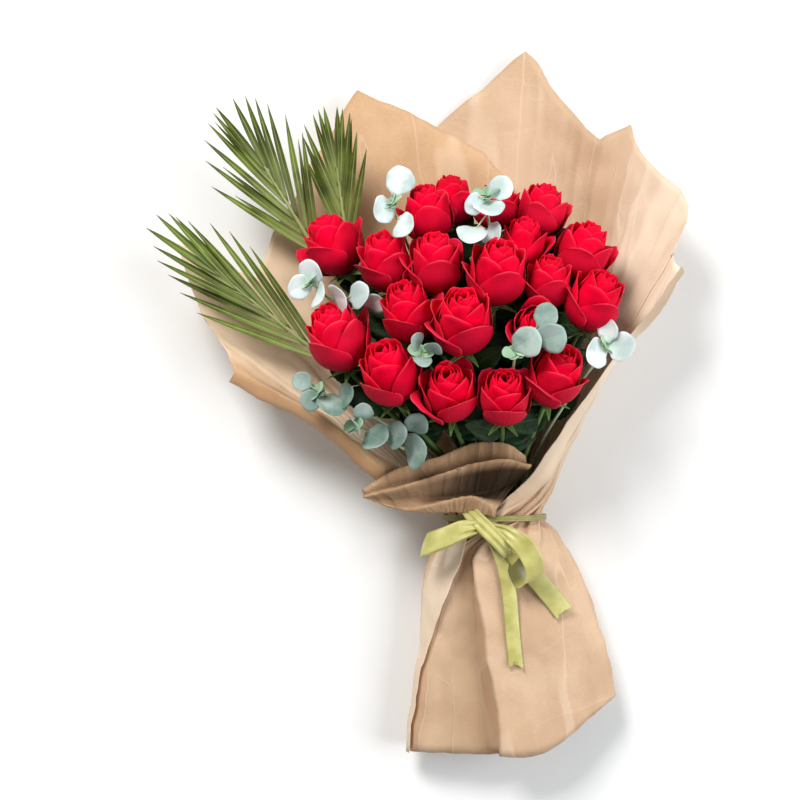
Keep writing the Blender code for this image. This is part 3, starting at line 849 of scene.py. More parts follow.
def join(name, objects):
    """Several baked pieces as one, each keeping its material."""
    first = objects[0]
    with bpy.context.temp_override(
        active_object=first, object=first, selected_editable_objects=objects
    ):
        bpy.ops.object.join()
    first.name = name
    return first


print("a leaf is", LEAF_THICKNESS, "mm thick")

# %% [markdown]
# ## Greens: rose leaf, stem, eucalyptus and palm
# A rose leaf is dark green, with a pale midrib and a sawn edge, and its finish is darkened
# further as painted shade for the gaps between the heads. Eucalyptus leaves carry a bloom of
# wax that makes them grey-green. Four sprays get a second, nearly white finish, which is a
# painted highlight. A palm leaflet is grooved along its length and paler at its rib.

# %% Green materials


def leaf_material(name, light, dark, vein, veins, roughness, fine, sheen=0.0, grooves=1.0):
    """A leaf's finish: patches, veins of (number, slant, width, strength), and fine grain."""
    material, tree, shader = new_material(name, roughness, sheen=sheen, specular=0.14)
    side_veins, slant, width, strength = veins
    place = object_place(tree)
    colour, mask = use_patches(tree, place, 38.0, light, dark)
    _, all_veins = use_veins(tree, side_veins, slant, width)
    veined = blend_colours(tree, all_veins * strength, colour, vein)
    luck = (attribute(tree, "leaf_number") * 0.618).make("FRACT")
    toned = blend_colours(tree, luck * 0.5, veined, dark)
    plug(tree, toned, shader.inputs["Base Color"])
    uneven = mask.ramp(0.0, 1.0, roughness - 0.08, roughness + 0.08)
    plug(tree, uneven, shader.inputs["Roughness"])
    grain = noise_texture(tree, place, fine)
    bump(tree, shader, grain * 0.4 - all_veins * grooves, 0.3, 0.7)
    return material


def stem_material(name, light, dark, scale):
    """A stalk's finish: soft patches of tone, and small lenticels in its bark."""
    material, tree, shader = new_material(name, 0.5, specular=0.4)
    place = object_place(tree)
    colour, _ = use_patches(tree, place, scale, light, dark)
    plug(tree, colour, shader.inputs["Base Color"])
    bump(tree, shader, noise_texture(tree, place, 900.0, 2.0), 0.15, 0.6)
    return material


# The rose leaf's dark green is darkened further, as painted shade for the gaps between the heads
ROSE_GREEN_AND_PAINTED_SHADE = leaf_material(
    "rose_leaf_green", (0.014, 0.042, 0.011, 1), (0.004, 0.014, 0.003, 1),
    (0.09, 0.15, 0.05, 1), (9.0, 0.28, 0.09, 0.3), 0.45, 700.0,
)
SEPAL_GREEN = leaf_material(
    "sepal_green", (0.16, 0.27, 0.07, 1), (0.08, 0.15, 0.04, 1),
    (0.25, 0.36, 0.14, 1), (5.0, 0.2, 0.1, 0.4), 0.5, 700.0,
)
# A nearly white copy of the grey-green finish: a painted highlight
EUCALYPTUS_PAINTED_HIGHLIGHT = leaf_material(
    "eucalyptus_wax", (0.86, 0.91, 0.92, 1), (0.46, 0.57, 0.55, 1),
    (0.80, 0.86, 0.82, 1), (5.0, 0.9, 0.05, 0.14), 0.6, 500.0, sheen=0.1, grooves=0.2,
)
EUCALYPTUS_GREY = leaf_material(
    "eucalyptus_grey", (0.46, 0.58, 0.53, 1), (0.15, 0.24, 0.20, 1),
    (0.62, 0.72, 0.66, 1), (5.0, 0.9, 0.05, 0.2), 0.6, 500.0, sheen=0.1, grooves=0.3,
)
YOUNG_GREEN = leaf_material(
    "eucalyptus_young", (0.50, 0.72, 0.48, 1), (0.28, 0.45, 0.28, 1),
    (0.66, 0.80, 0.62, 1), (5.0, 0.9, 0.05, 0.2), 0.55, 500.0, sheen=0.1, grooves=0.3,
)
PALM_GREEN = leaf_material(
    "palm_leaflet_green", (0.17, 0.24, 0.035, 1), (0.06, 0.075, 0.012, 1),
    (0.50, 0.58, 0.24, 1), (0.5, 0.0, 0.26, 0.75), 0.38, 400.0,
)
STEM_GREEN = stem_material("rose_stem_green", (0.11, 0.20, 0.05, 1), (0.04, 0.09, 0.02, 1), 30.0)
TWIG_PALE = stem_material("twig_pale", (0.52, 0.60, 0.42, 1), (0.30, 0.38, 0.22, 1), 40.0)
print("green finishes:", ROSE_GREEN_AND_PAINTED_SHADE.name, EUCALYPTUS_PAINTED_HIGHLIGHT.name, PALM_GREEN.name)

# %% [markdown]
# ## Where the stems lead
# All stems run side by side through one tie and fan out on both sides of it. The place of a
# stem in the tie depends on where it leads, so the tips of the sprays and the feet of the
# fronds are written down here, beside those of the roses.

# %% The sprays and the fronds
# Each spray's tip, its lean and lift there, and its round leaves as centre and radius
SPRAYS = (
    ((-27, 184, 152), (-18, 40), ((-19, 206, 153, 13), (-33, 180, 158, 13), (-15, 163, 162, 13))),
    ((62, 192, 152), (-14, 50), ((64, 181, 158, 14), (48, 154, 172, 14), (76, 199, 153, 12))),
    (
        (-104, 112, 136), (-50, 35),
        ((-103, 117, 141, 13), (-95, 99, 146, 13), (-76, 96, 152, 14), (-57, 98, 156, 13)),
    ),
    ((2, 44, 174), (0, 88), ((-4, 54, 186, 9), (12, 48, 190, 9), (2, 36, 184, 8))),
    ((88, 44, 180), (10, 75), ((99, 54, 190, 14), (121, 58, 194, 14), (116, 78, 196, 11))),
    ((178, 50, 144), (40, 35), ((165, 44, 152, 14), (186, 50, 150, 14), (177, 66, 150, 10))),
    (
        (-96, 8, 122), (-70, 30),
        ((-84, -4, 126, 14), (-70, 4, 128, 13), (-112, 18, 124, 9), (-104, 0, 122, 10)),
    ),
    (
        (-60, -24, 116), (-60, 40),
        ((-60, -25, 124, 12), (-42, -36, 127, 15), (-22, -33, 129, 13), (-4, -48, 124, 16)),
    ),
)

# Each frond's first leaflets, its tip, its pairs, the longest leaflet and their spread
FRONDS = (
    ((-92, 40, 90), (-196, 124, 106), 7, 100, 30),
    ((-100, 144, 66), (-150, 226, 90), 6, 92, 40),
    ((-70, 150, 56), (-80, 226, 74), 6, 76, 30),
)
print("sprays:", len(SPRAYS), "fronds:", len(FRONDS))

# %% [markdown]
# ## The bundle
# Every stem has its own place in the tied bundle. Stems that lead to the left are on the
# left, and of those the ones that rise most are on top, so that no two cross. Sorting them
# gives that order without a list of places.

# %% Places in the tied bundle
NECK = Vector((74, -115, 40))
SLOT_ACROSS = 5.2
SLOT_UP = 5.5
SLOT_COLUMNS = (2, 3, 4, 4, 5, 4, 4, 3, 2)
HIP_LENGTH = 9


def stem_slots(targets):
    """A place in the tied bundle for each stem, in the order of the ways they lead."""

    def bearing(i):
        way = targets[i] - NECK
        return math.atan2(way.x, way.y)

    def rise(i):
        way = targets[i] - NECK
        return way.z / math.hypot(way.x, way.y)

    order = sorted(range(len(targets)), key=bearing)
    slots = {}
    middle = (len(SLOT_COLUMNS) - 1) / 2
    for column, count in enumerate(SLOT_COLUMNS):
        chosen = sorted(order[:count], key=rise)
        order = order[count:]
        for level, i in enumerate(chosen):
            across = (column - middle) * SLOT_ACROSS
            slots[i] = NECK + Vector((across, 0, (level - (count - 1) / 2) * SLOT_UP))
    return slots


stem_tops = []
for rose in ROSES:
    base, axis, _ = bloom_seat(rose)
    stem_tops.append((base - axis * (HIP_GAP + HIP_LENGTH), axis))
ends = [top for top, _ in stem_tops]
ends += [Vector(tip) for tip, _, _ in SPRAYS]
ends += [Vector(start) for start, _, _, _, _ in FRONDS]
slots = stem_slots(ends)
print("stems in the tie:", len(slots))

# %% [markdown]
# ## The way of a stem
# Above the tie each stem follows one smooth curve that leaves along the bundle and arrives
# in line with its own head. A Hermite curve does that, because it is given both ends and the
# way the line runs at each of them. Below the tie the stem runs on to its cut end.

# %% The curve that a stem follows
STEM_RADIUS = 2.6
STEM_ENDS_Y = -304
CURVE_CORNERS = 3
CURVE_STEPS = 4


def hermite(start, end, leave, arrive, t):
    """A point of the smooth curve from start to end, t of the way along."""
    return (
        start * (2 * t**3 - 3 * t**2 + 1)
        + leave * (t**3 - 2 * t**2 + t)
        + end * (3 * t**2 - 2 * t**3)
        + arrive * (t**3 - t**2)
    )


def bent(points, steps, softness=1.0):
    """A line through the points; softness 1 bends it smoothly and 0 leaves it straight."""
    points = [Vector(p) for p in points]
    line = []
    for i in range(len(points) - 1):
        start, end = points[i], points[i + 1]
        before, after = points[max(i - 1, 0)], points[min(i + 2, len(points) - 1)]
        straight = end - start
        run = straight.length
        leave = straight.lerp((end - before).normalized() * run, softness)
        arrive = straight.lerp((after - start).normalized() * run, softness)
        for k in range(steps):
            line.append(hermite(start, end, leave, arrive, k / steps))
    line.append(points[-1])
    return line


def stem_route(slot, end, arrive, reach=0.55):
    """From the cut end, through the tie, to the head; then the solid's own few corners."""
    away = slot - NECK
    cut = NECK + Vector((away.x * 1.5 + 8, 0, away.z * 1.05 - 7))
    cut.y = STEM_ENDS_Y + (away.x * 7 + away.z * 5) % 9
    run = (end - slot).length
    leave = ((end - slot).normalized() * 0.3 + Vector((0, 0.7, 0))) * run
    corners = []
    for k in range(CURVE_CORNERS + 1):
        corners.append(hermite(slot, end, leave, arrive * run * reach, k / CURVE_CORNERS))
    return bent([cut] + corners, CURVE_STEPS), corners


def along(points, share):
    """The point at a share of the way along a list of points."""
    place = share * (len(points) - 1)
    i = min(int(place), len(points) - 2)
    return Vector(points[i]).lerp(Vector(points[i + 1]), place - i)


print("a stem's line has", len(stem_route(slots[0], *stem_tops[0])[0]), "points")

# %% [markdown]
# ## The rose's leaf and its sepals
# A rose leaf has a sawn edge and a wavy blade, and a sepal is a slim blade drawn out to a
# point. Both are blades that differ only in the rule for their edge, so the rule is a
# function that is handed to the same builder.

# %% Rose leaf and sepal


def sawn_edge(share, u):
    """Half the width of a rose leaf, with teeth on its rim."""
    body = 0.29 * math.sin(math.pi * min(1.0, share**0.82)) ** 0.8
    teeth = 0.03 * ((share * 8.5) % 1.0) * (1 if abs(u) > 0.99 else 0)
    return max(0.004, body - teeth)


def slim_edge(share, u):
    """Half the width of a sepal: broad at its foot, drawn out to a point."""
    return 0.16 * (1 - share) ** 0.8 + 0.006


rose_leaf = model_leaf("leaf_of_the_rose", sawn_edge, 17, 4, fold=0.22, droop=0.10, wave=0.012)
sepal = model_leaf("sepal_of_the_rose", slim_edge, 8, 4, fold=0.3, droop=0.22)
print("points in a leaf and a sepal:", len(rose_leaf.data.vertices), len(sepal.data.vertices))

# %% [markdown]
# ## Rose stems
# Under each bloom sits a round hip with five sepals that bend back as the flower opens. The
# stem below it bears leaves. The leaves of the solids are kept in their places, and smaller
# ones join them lower down, where the eye only meets a dark green shade between the heads;
# their dark finish there is painted shade.

# %% Hips, sepals and the room for leaves
ROSE_LEAF = 46
SEPALS = 5
# Small dark leaves lower on each stem fill the gaps between the heads, as painted shade
EXTRA_LEAVES = 12
LOWEST_LEAF = -33
# The paper's two front edges: a point (x, y) of each, and how much x changes with y
WRAP_EDGES = ((85, -88, 0.72), (-21, -73, -1.46))
# Which roses bear leaves, and each leaf's share of the way up its stem and its turn
ROSE_LEAVES = {
    1: ((0.70, -60),),
    3: ((0.65, -80),),
    5: ((0.70, 20), (0.90, 40)),
    6: ((0.50, 20), (0.65, 80)),
    11: ((0.95, 120),),
    12: ((0.50, 80),),
    14: ((0.90, 80),),
    15: ((0.70, -80),),
    16: ((0.65, 0),),
    17: ((0.85, 60),),
    18: ((0.90, -100),),
    19: ((0.85, -120),),
}


def build_hip(base, axis):
    """The rounded hip under a bloom, turned from its profile of radius and height."""
    profile = (
        (2.6, -HIP_LENGTH), (3.4, -7.6), (5.2, -5.6), (6.4, -3.2), (6.5, -1.2), (5.2, -0.3),
        (0.2, -0.2),
    )
    rows = []
    for radius, height in profile:
        row = []
        for k in range(16):
            angle = 2 * math.pi * k / 16
            row.append((radius * math.cos(angle), radius * math.sin(angle), height))
        rows.append(row)
    mesh = grid_mesh("hip", rows, closed=True)
    mesh.transform(upright_matrix(base - axis * HIP_GAP, axis))
    mesh.materials.append(STEM_GREEN)
    mesh.shade_smooth()
    return show("hip", mesh)


def sepal_seats(base, axis, number):
    """Five sepals round the hip's rim, pointing out and a little down the stem."""
    spin = upright_matrix(Vector((0, 0, 0)), axis, 37 * number).to_3x3()
    seats = []
    for k in range(SEPALS):
        angle = 2 * math.pi * k / SEPALS
        out = spin @ Vector((math.cos(angle), math.sin(angle), 0))
        root = base - axis * 2.2 + out * 5.4
        seats.append((root, (out + axis * 0.15).normalized(), axis, (26, 19, 19)))
    return seats


def in_wrap(point):
    """Whether a leaf's tip stays between the two front edges of the paper."""
    right, left = [x + (point.y - y) * slope for x, y, slope in WRAP_EDGES]
    return left < point.x < right and point.y > LOWEST_LEAF


print("leaves of the solids:", sum(len(leaves) for leaves in ROSE_LEAVES.values()))

# %% [markdown]
# ## Each stem with its leaves
# The leaves are spread round the stem by a fixed turn and a little chance. One that would
# reach through the paper is left out. Then stalk, hip, sepals and leaves become one piece.

# %% Rose stems


def leaf_seats(line, number):
    """The leaves of one stem: those of the solid, then small ones lower down."""
    seats = []
    for share, turn in ROSE_LEAVES.get(number, ()):
        root = along(line, share)
        tangent = (along(line, share + 0.03) - root).normalized()
        way = (tangent * 0.5 + direction(turn, 25)).normalized()
        seats.append((root, way, Vector((0, 0, 1)), (ROSE_LEAF,) * 3))
    draw = random.Random(number * 13)
    for k in range(EXTRA_LEAVES):
        root = along(line, 0.56 + 0.44 * k / EXTRA_LEAVES)
        turn = 137 * k + draw.uniform(-30, 30)
        way = (direction(turn, -12) + Vector((0, 0.3, 0))).normalized()
        size = draw.uniform(30, 44)
        if in_wrap(root + way * size):
            seats.append((root, way, Vector((0.1, 0.1, 1)), (size,) * 3))
    return seats


def build_stem(number):
    """One stalk with its hip, its sepals and its leaves."""
    top, axis = stem_tops[number - 1]
    base, _, _ = bloom_seat(ROSES[number - 1])
    route, corners = stem_route(slots[number - 1], top, axis)
    stalk = tube("stalk", route, STEM_RADIUS, STEM_GREEN)
    hip = build_hip(base, axis)
    seats = sepal_seats(base, axis, number)
    sepals = set_leaves("sepals", sepal, seats, SEPAL_GREEN, number, 0.06, 0.05)
    seats = leaf_seats(corners, number)
    leaves = set_leaves("leaves", rose_leaf, seats, ROSE_GREEN_AND_PAINTED_SHADE, number, 0.03, 0.03)
    stem = join("rose_%02d_green" % number, [stalk, hip, sepals, leaves])
    return hand_over(stem, "stem_green", "rose_%02d_stem" % number)


stems = [build_stem(i + 1) for i in range(len(ROSES))]
for pattern in (rose_leaf, sepal):
    bpy.data.objects.remove(pattern)
print("rose stems:", len(stems), "with", sum(len(s.data.polygons) for s in stems), "faces")

# %% [markdown]
# ## Eucalyptus
# Silver-dollar eucalyptus has round leaves in pairs on a thin pale twig. Each leaf hangs on a
# short stalk, is slightly dished, and turns its own way. The round leaf is a disc drawn out
# to its stalk, and the node tree sets one at each place.

# %% The round leaf


def model_round_leaf(name):
    """A dished disc one unit in radius, its rim waved, drawn out to a stalk at -Y."""
    rows = []
    for j in range(6):
        ring = j / 5
        row = []
        for k in range(32):
            angle = 2 * math.pi * k / 32
            reach = ring * (1 + 0.03 * math.sin(3 * angle + 1) + 0.02 * math.sin(7 * angle))
            stalk = max(0.0, -math.sin(angle) - 0.93) * 3.2 * ring**3
            x, y = reach * math.cos(angle), reach * math.sin(angle) - stalk
            z = 0.08 * x * x + 0.11 * abs(x) - 0.05 * max(0.0, y) ** 2
            z += 0.06 * ring**2 * math.sin(2 * angle + 0.7)
            row.append(Vector((x, y, z)) / MM)
        rows.append(row)
    mesh = grid_mesh(name, rows, closed=True)
    across, up = mesh.attributes["across"], mesh.attributes["up"]
    for i, vert in enumerate(mesh.vertices):
        across.data[i].value = vert.co.x
        up.data[i].value = (vert.co.y + 1) / 2
    merge_points(mesh, turn_outward=True)
    return show(name, mesh)


round_leaf = model_round_leaf("round_leaf_of_the_eucalyptus")
print("points in a round leaf:", len(round_leaf.data.vertices))

# %% [markdown]
# ## Eucalyptus sprays
# A spray is a twig with its round leaves. A leaf that lies off the twig gets a stalk to the
# nearest point of it. At the tip the leaves are young: small, pale and still upright.

# %% Sprays
TWIG_RADII = (2.2, 2.2, 1.6, 1.5, 1.2)
STALK_RADIUS = 0.7
YOUNG_LEAF = 5
# The sprays that get the nearly white finish, a painted highlight
PAINTED_HIGHLIGHT_SPRAYS = (1, 2, 3, 6)
# More leaves than the solids have, for each spray that has them
MORE_LEAVES = {
    2: ((68, 156, 156, 12), (50, 184, 160, 10)),
    3: ((-114, 107, 140, 12), (-44, 92, 150, 11)),
    8: ((-3, -22, 122, 12), (-54, -11, 126, 10)),
}


def young_seats(route, draw):
    """Small pale leaves in pairs that stand up round the twig's tip."""
    tip, before = route[-1], route[-3]
    way = (tip - before).normalized()
    seats = []
    for k in range(6):
        turn = 60 * k + draw.uniform(-20, 20)
        out = upright_matrix(Vector((0, 0, 0)), way, turn).to_3x3() @ Vector((1, 0, 0))
        lean = (way * (0.4 + 0.25 * (k % 3)) + out).normalized()
        size = YOUNG_LEAF * (1.2 - 0.15 * (k % 3))
        centre = tip - way * 3 * (k % 3) + lean * size * 1.2
        seats.append((centre, lean, way, (size, size * 1.2, size)))
    return seats


def build_spray(number):
    """One twig with its round leaves, their stalks, and the young leaves at its tip."""
    tip, (lean, lift), leaves = SPRAYS[number - 1]
    slot = slots[len(ROSES) + number - 1]
    route, _ = stem_route(slot, Vector(tip), direction(lean, lift), 0.65)
    radii = []
    for k in range(len(route)):
        radii.append(along([(r, 0, 0) for r in TWIG_RADII], k / (len(route) - 1)).x)
    pieces = [tube("twig", route, radii, TWIG_PALE, sides=2)]
    places = [along(route, k / 60) for k in range(61)]
    draw = random.Random(len(leaves) * 7 + round(tip[0]))
    seats = []
    for x, y, z, radius in leaves + MORE_LEAVES.get(number, ()):
        centre = Vector((x, y, z))
        root = min(places, key=lambda p: (p - centre).length)
        facing = Vector((draw.uniform(-0.42, 0.42), draw.uniform(-0.45, 0.3), 1)).normalized()
        if (centre - root).length < radius:
            centre = root + (centre - root).normalized() * radius
        way = (centre - root).normalized()
        seats.append((centre, way, facing, (radius * 1.04,) * 3))
        if (centre - root).length > radius * 1.1:
            edge = centre - way * radius * 0.95
            stalk = [root, root.lerp(edge, 0.5), edge]
            pieces.append(tube("stalk", stalk, STALK_RADIUS, TWIG_PALE, sides=1))
    finish = EUCALYPTUS_PAINTED_HIGHLIGHT if number in PAINTED_HIGHLIGHT_SPRAYS else EUCALYPTUS_GREY
    pieces.append(set_leaves("leaves", round_leaf, seats, finish, number, 0.06, 0.13))
    young = young_seats(route, random.Random(number))
    pieces.append(set_leaves("young", round_leaf, young, YOUNG_GREEN, number, 0.1, 0.2))
    spray = join("eucalyptus_%02d_leafy" % number, pieces)
    return hand_over(spray, "eucalyptus_leaf", "eucalyptus_%02d" % number)


sprays = [build_spray(i + 1) for i in range(len(SPRAYS))]
bpy.data.objects.remove(round_leaf)
print("eucalyptus sprays:", len(sprays))

# %% [markdown]
# ## Palm fronds
# A feather palm's leaflets stand in two ranks along the rib, folded along their middle and
# bending down at their tips. They are widest below the middle and end in a fine point. The
# solids hold every second pair, and here some of the leaflets between them are added, which
# are narrower and shorter.

# %% Palm fronds
LEAFLET_WIDTH = 6.4
LEAFLETS_CLOSED = 0.62
LEAFLET_DROOP = 0.05
BETWEEN_WIDTH = 0.65
BETWEEN_MISSING = 0.6
RIB_END_RADII = [2.5, 2.4, 2.3, 2.2, 1.2]


def leaflet_edge(share, u):
    """Half the width of a leaflet, as a share of its full width."""
    if share < 0.4:
        return 0.2 + 0.3 * math.sin(share / 0.4 * math.pi / 2)
    return 0.5 * (1 - ((share - 0.4) / 0.6) ** 2.2) + 0.01


leaflet = model_leaf("leaflet_of_the_palm", leaflet_edge, 14, 4, fold=0.55)


def build_frond(number):
    """One rib with its leaflets; every second pair is one that the solid doesn't have."""
    start, tip, pairs, longest, spread = FRONDS[number - 1]
    start, tip = Vector(start), Vector(tip)
    rib_way = (tip - start).normalized()
    slot = slots[len(ROSES) + len(SPRAYS) + number - 1]
    route, _ = stem_route(slot, start, rib_way, 0.6)
    flat = rib_way.cross(Vector((0, 0, 1))).normalized()
    draw = random.Random(pairs * 31 + round(longest))
    between = random.Random(number)
    seats = []
    for k in range(2 * pairs - 1):
        source = between if k % 2 else draw
        share = k / (2 * pairs - 2)
        root = start.lerp(tip, share * 0.96)
        for hand in (-1, 1):
            open_by = math.radians(spread * (1 - 0.75 * share) + source.uniform(-3, 3))
            open_by *= LEAFLETS_CLOSED
            lift = Vector((0, 0, 0.12 * hand + source.uniform(0, 0.1)))
            if k % 2:
                lift = lift + Vector((0, 0, between.uniform(-0.12, 0.02)))
            out = flat * hand * math.sin(open_by)
            way = (rib_way * math.cos(open_by) + out + lift).normalized()
            way = (way - Vector((0, 0, LEAFLET_DROOP))).normalized()
            length = longest * (0.75 + 0.25 * math.sin(math.pi * (0.2 + 0.7 * share)))
            length *= 1.0 + 0.45 * (1 - share)
            wide = LEAFLET_WIDTH
            if k % 2:
                length *= between.uniform(0.7, 0.95)
                wide *= BETWEEN_WIDTH
                if between.random() < BETWEEN_MISSING:
                    continue
            seats.append((root + flat * hand * 0.9, way, Vector((0, 0, 1)), (wide, length, wide)))
    radii = [STEM_RADIUS] * (len(route) - 4) + RIB_END_RADII
    rib = tube("rib", route + [tip], radii, PALM_GREEN, sides=2)
    blades = set_leaves("leaflets", leaflet, seats, PALM_GREEN, number, 0.0, 0.015)
    frond = join("palm_%02d_leafy" % number, [rib, blades])
    return hand_over(frond, "palm_green", "palm_%02d" % number)


fronds = [build_frond(i + 1) for i in range(len(FRONDS))]
bpy.data.objects.remove(leaflet)
print("palm fronds:", len(fronds))

# %% [markdown]
# ## Kraft paper
# Wrapping paper bends one way at a time. It makes long folds that fan out from the neck,
# and sharp small creases where it was bent twice. Each sheet is a net of lines from the neck
# to its rim, made finer with smooth curves. Two rules then crease it: streaks that follow
# those lines, and crumples that belong to the place in space, so that sheets which lie
# against each other crumple together and don't cut through each other.

# %% The measures of the paper
PAPER_FLOOR = 0.8
INNER_NECK_RING = (30.7, 20.8)
OUTER_NECK_RING = (41.5, 30.8)
INNER_PLEAT = 1.4
OUTER_PLEAT = 6.0
# A line whose rim point is lower than this sags towards the table
LOW_RIM = 40
# Lines from the neck along a sheet's free edge, and rims of points (x, y, z, angle
# round the neck where the crease to that point starts)
ROWS_UP = (0.08, 0.2, 0.38, 0.6, 0.8, 1.0)
OUTER_LINES = (
    (
        (93, -88, 86), (113, -65, 90), (144, -19, 96), (183, 37, 104), (217, 84, 110),
        (250, 130, 116),
    ),
    ((127, -72, 76), (153, -24, 82), (189, 37, 90), (238, 93, 100), (254, 122, 106)),
)
OUTER_LINE_ANGLES = (105, 80)
OUTER_RIM = (
    (242, 141, 98, 55), (257, 169, 95, 35), (259, 186, 92, 20), (250, 204, 88, 8),
    (229, 224, 78, -6), (217, 240, 70, -18), (203, 271, 54, -30), (177, 258, 36, -44),
    (160, 275, 28, -56), (146, 291, 22, -68), (124, 322, 18, -80), (106, 348, 15, -92),
    (62, 310, 8, -104), (18, 272, 5, -118), (-15, 238, 3, -132), (-46, 205, 2, -146),
    (-74, 165, 3, -160),
)
INNER_LINES = (
    ((-34, -83, 80), (-69, -52, 84), (-96, -30, 85), (-155, 2, 83), (-183, 19, 80)),
    ((-29, -73, 87), (-64, -43, 91), (-92, -20, 92), (-150, 12, 89), (-177, 28, 86)),
)
INNER_LINE_ANGLES = (112, 122)
INNER_RIM = (
    (-188, 49, 74, 136), (-213, 84, 68, 150), (-226, 117, 64, 162), (-237, 152, 60, 174),
    (-199, 135, 50, 186), (-160, 120, 42, 197), (-145, 161, 36, 208), (-108, 232, 30, 219),
    (-80, 274, 28, 229), (-61, 306, 26, 238), (-19, 289, 20, 247), (18, 272, 15, 256),
    (64, 246, 12, 266), (90, 215, 11, 277), (105, 180, 11, 288), (112, 140, 11, 299),
)

# The skirt, from the neck down: y, left and right sides, top, bottom, angles
SKIRT = (
    (-130, 18, 133, 77, 3.5, 112, -240),
    (-152, 11, 150, 74, 1.5, 138, -238),
    (-181, 4, 164, 71, 0.4, 148, -230),
    (-223, 0, 179, 69, 0.4, 162, -216),
    (-266, -4, 189, 67, 0.4, 176, -202),
    (-346, -14, 194, 64, 0.4, 182, -196),
)
SKIRT_CORNER_X = 123
SKIRT_CORNER_SLOPE = 0.8
SKIRT_WAIST = 0.45
FLAP_UNDER = 2.6
print("lines to the outer rim:", len(OUTER_RIM), "and to the inner rim:", len(INNER_RIM))

# %% [markdown]
# ## Nets of lines
# A sheet's lines start on a ring round the neck, where its pleats go in and out by turns, and
# end at its rim. The skirt is a stack of such rings that widen down to the hem. One column
# of the net is kept on the long fold, so that the fold is a sharp line in the mesh.

# %% Nets for the sheets and the skirt
# The long fold down the skirt: the net's column that runs along it, a point of it, and how
# much its x changes with y
FOLD_COLUMN = 3
FOLD_X = 58
FOLD_Y = -183
FOLD_SLOPE = 0.137


def polyline_point(points, share):
    """The point at a share of the length of a line of points."""
    points = [Vector(p) for p in points]
    runs = [(b - a).length for a, b in zip(points, points[1:])]
    left = share * sum(runs)
    for a, b, run in zip(points, points[1:], runs):
        if left <= run:
            return a.lerp(b, left / run)
        left -= run
    return points[-1]


def neck_point(angle, ring, fold=0.0):
    """A point of a ring round the neck, pushed out or in by a fold."""
    angle = math.radians(angle)
    across, up = (ring[0] + fold) * math.cos(angle), (ring[1] + fold) * math.sin(angle)
    return NECK + Vector((across, 0, up))


def sheet_net(lines, line_angles, rim, ring, pleat, belly):
    """A sheet's lines from the neck to its rim, pleated at the neck."""
    rows = []
    angles = list(line_angles) + [r[3] for r in rim]
    for share in (0.0,) + ROWS_UP:
        row = []
        for i, angle in enumerate(angles):
            fold = pleat * (1 if i % 2 else -1) * (1 - share) ** 3
            start = neck_point(angle, ring, fold)
            if i < len(lines):
                point = polyline_point((start,) + lines[i], share)
            else:
                end = Vector(rim[i - len(lines)][:3])
                point = start.lerp(end, share)
                sag = belly * math.sin(math.pi * share) if end.z < LOW_RIM else 0.0
                point.z = max(PAPER_FLOOR, point.z - sag)
            row.append(point)
        rows.append(row)
    return rows


def column_share(i, columns, fold):
    """A column's share of the way round, with one column of the net put on the fold."""
    share, place = i / (columns - 1), FOLD_COLUMN / (columns - 1)
    if share < place:
        return fold * share / place
    return fold + (1 - fold) * (share - place) / (1 - place)


def skirt_net(columns, pleat):
    """Rows of the skirt from its hem up to the neck; its last column laps over its first."""
    rows = []
    for level, (y, left, right, top, bottom, first, last) in enumerate(reversed(SKIRT)):
        middle, half = (left + right) / 2, (right - left) / 2
        waist = bottom + (top - bottom) * SKIRT_WAIST
        across = (FOLD_X - (y - FOLD_Y) * FOLD_SLOPE - middle) / half
        fold_place = max(0.05, (first - math.degrees(math.acos(across))) / (first - last))
        row = []
        for i in range(columns):
            share = column_share(i, columns, fold_place)
            angle = math.radians(first + (last - first) * share)
            under = FLAP_UNDER * (1 - share) ** 4
            fold = pleat * (1 if i % 2 else -1) * (0.08 + 0.92 * (level / len(SKIRT)) ** 3)
            reach = 1 - under / half + fold / half
            x = middle + half * reach * math.cos(angle)
            rise = abs(math.sin(angle)) ** 0.85 * (1 if math.sin(angle) > 0 else -1)
            if rise > 0:
                z = waist + (top - under - waist) * rise * (1 + fold / 40)
            else:
                z = max(bottom, waist + (waist - bottom) * rise * 1.12)
            corner = max(0.0, x - SKIRT_CORNER_X) * SKIRT_CORNER_SLOPE if level == 0 else 0.0
            row.append(Vector((x, y + corner, max(z, PAPER_FLOOR))))
        rows.append(row)
    return rows


print("rows in the skirt's net:", len(SKIRT))

# %% [markdown]
# ## Finer nets and creases
# The nets are made finer with the same smooth curves that the stems follow. The creases are
# noise with its negative half turned over, because that leaves a sharp valley where paper
# would crease. Gathers run out from the tie and fade away from it.

# %% Rules that crease a net
GATHER_DEPTH = 4.4
GATHER_REACH = 42
FOLDS_ACROSS = 19
WIDE_CRUMPLE = 60
SMALL_CRUMPLE = 24
# Paper nearer to the table than this is pressed flat and creases less
LYING_HEIGHT = 14


def finer(rows, down, across, softness, roundness=1.0):
    """More rows and columns for a net; softness gives each fine row's bend across."""
    columns = [bent([row[i] for row in rows], down, roundness) for i in range(len(rows[0]))]
    fine = []
    for j in range(len(columns[0])):
        row = [column[j] for column in columns]
        fine.append(bent(row, across, softness(j / (len(columns[0]) - 1))))
    return fine


def ridged(point, size):
    """Noise with sharp creases, between 0 at a crease and about 1."""
    return abs(noise.noise(point / size)) * 2


def crumple(point, amount):
    """How far crumpled paper is moved at a place, the same for all sheets there."""
    shift = Vector((0, 0, 0))
    for axis, far in ((0, 31.0), (1, 57.0), (2, 83.0)):
        offset = Vector((far, -far, far))
        wide = ridged(point + offset, WIDE_CRUMPLE) - 0.45
        small = ridged(point - offset, SMALL_CRUMPLE) - 0.45
        shift[axis] = wide + small * 0.45
    return shift * amount


def gathers(point, share):
    """Small folds where the tie draws the paper together, fading away from the neck."""
    near = math.exp(-abs(point.y - NECK.y) / GATHER_REACH)
    place = Vector((share * 34, point.y / 130, 2.5))
    return (0.55 - ridged(place, 1.0)) * GATHER_DEPTH * near


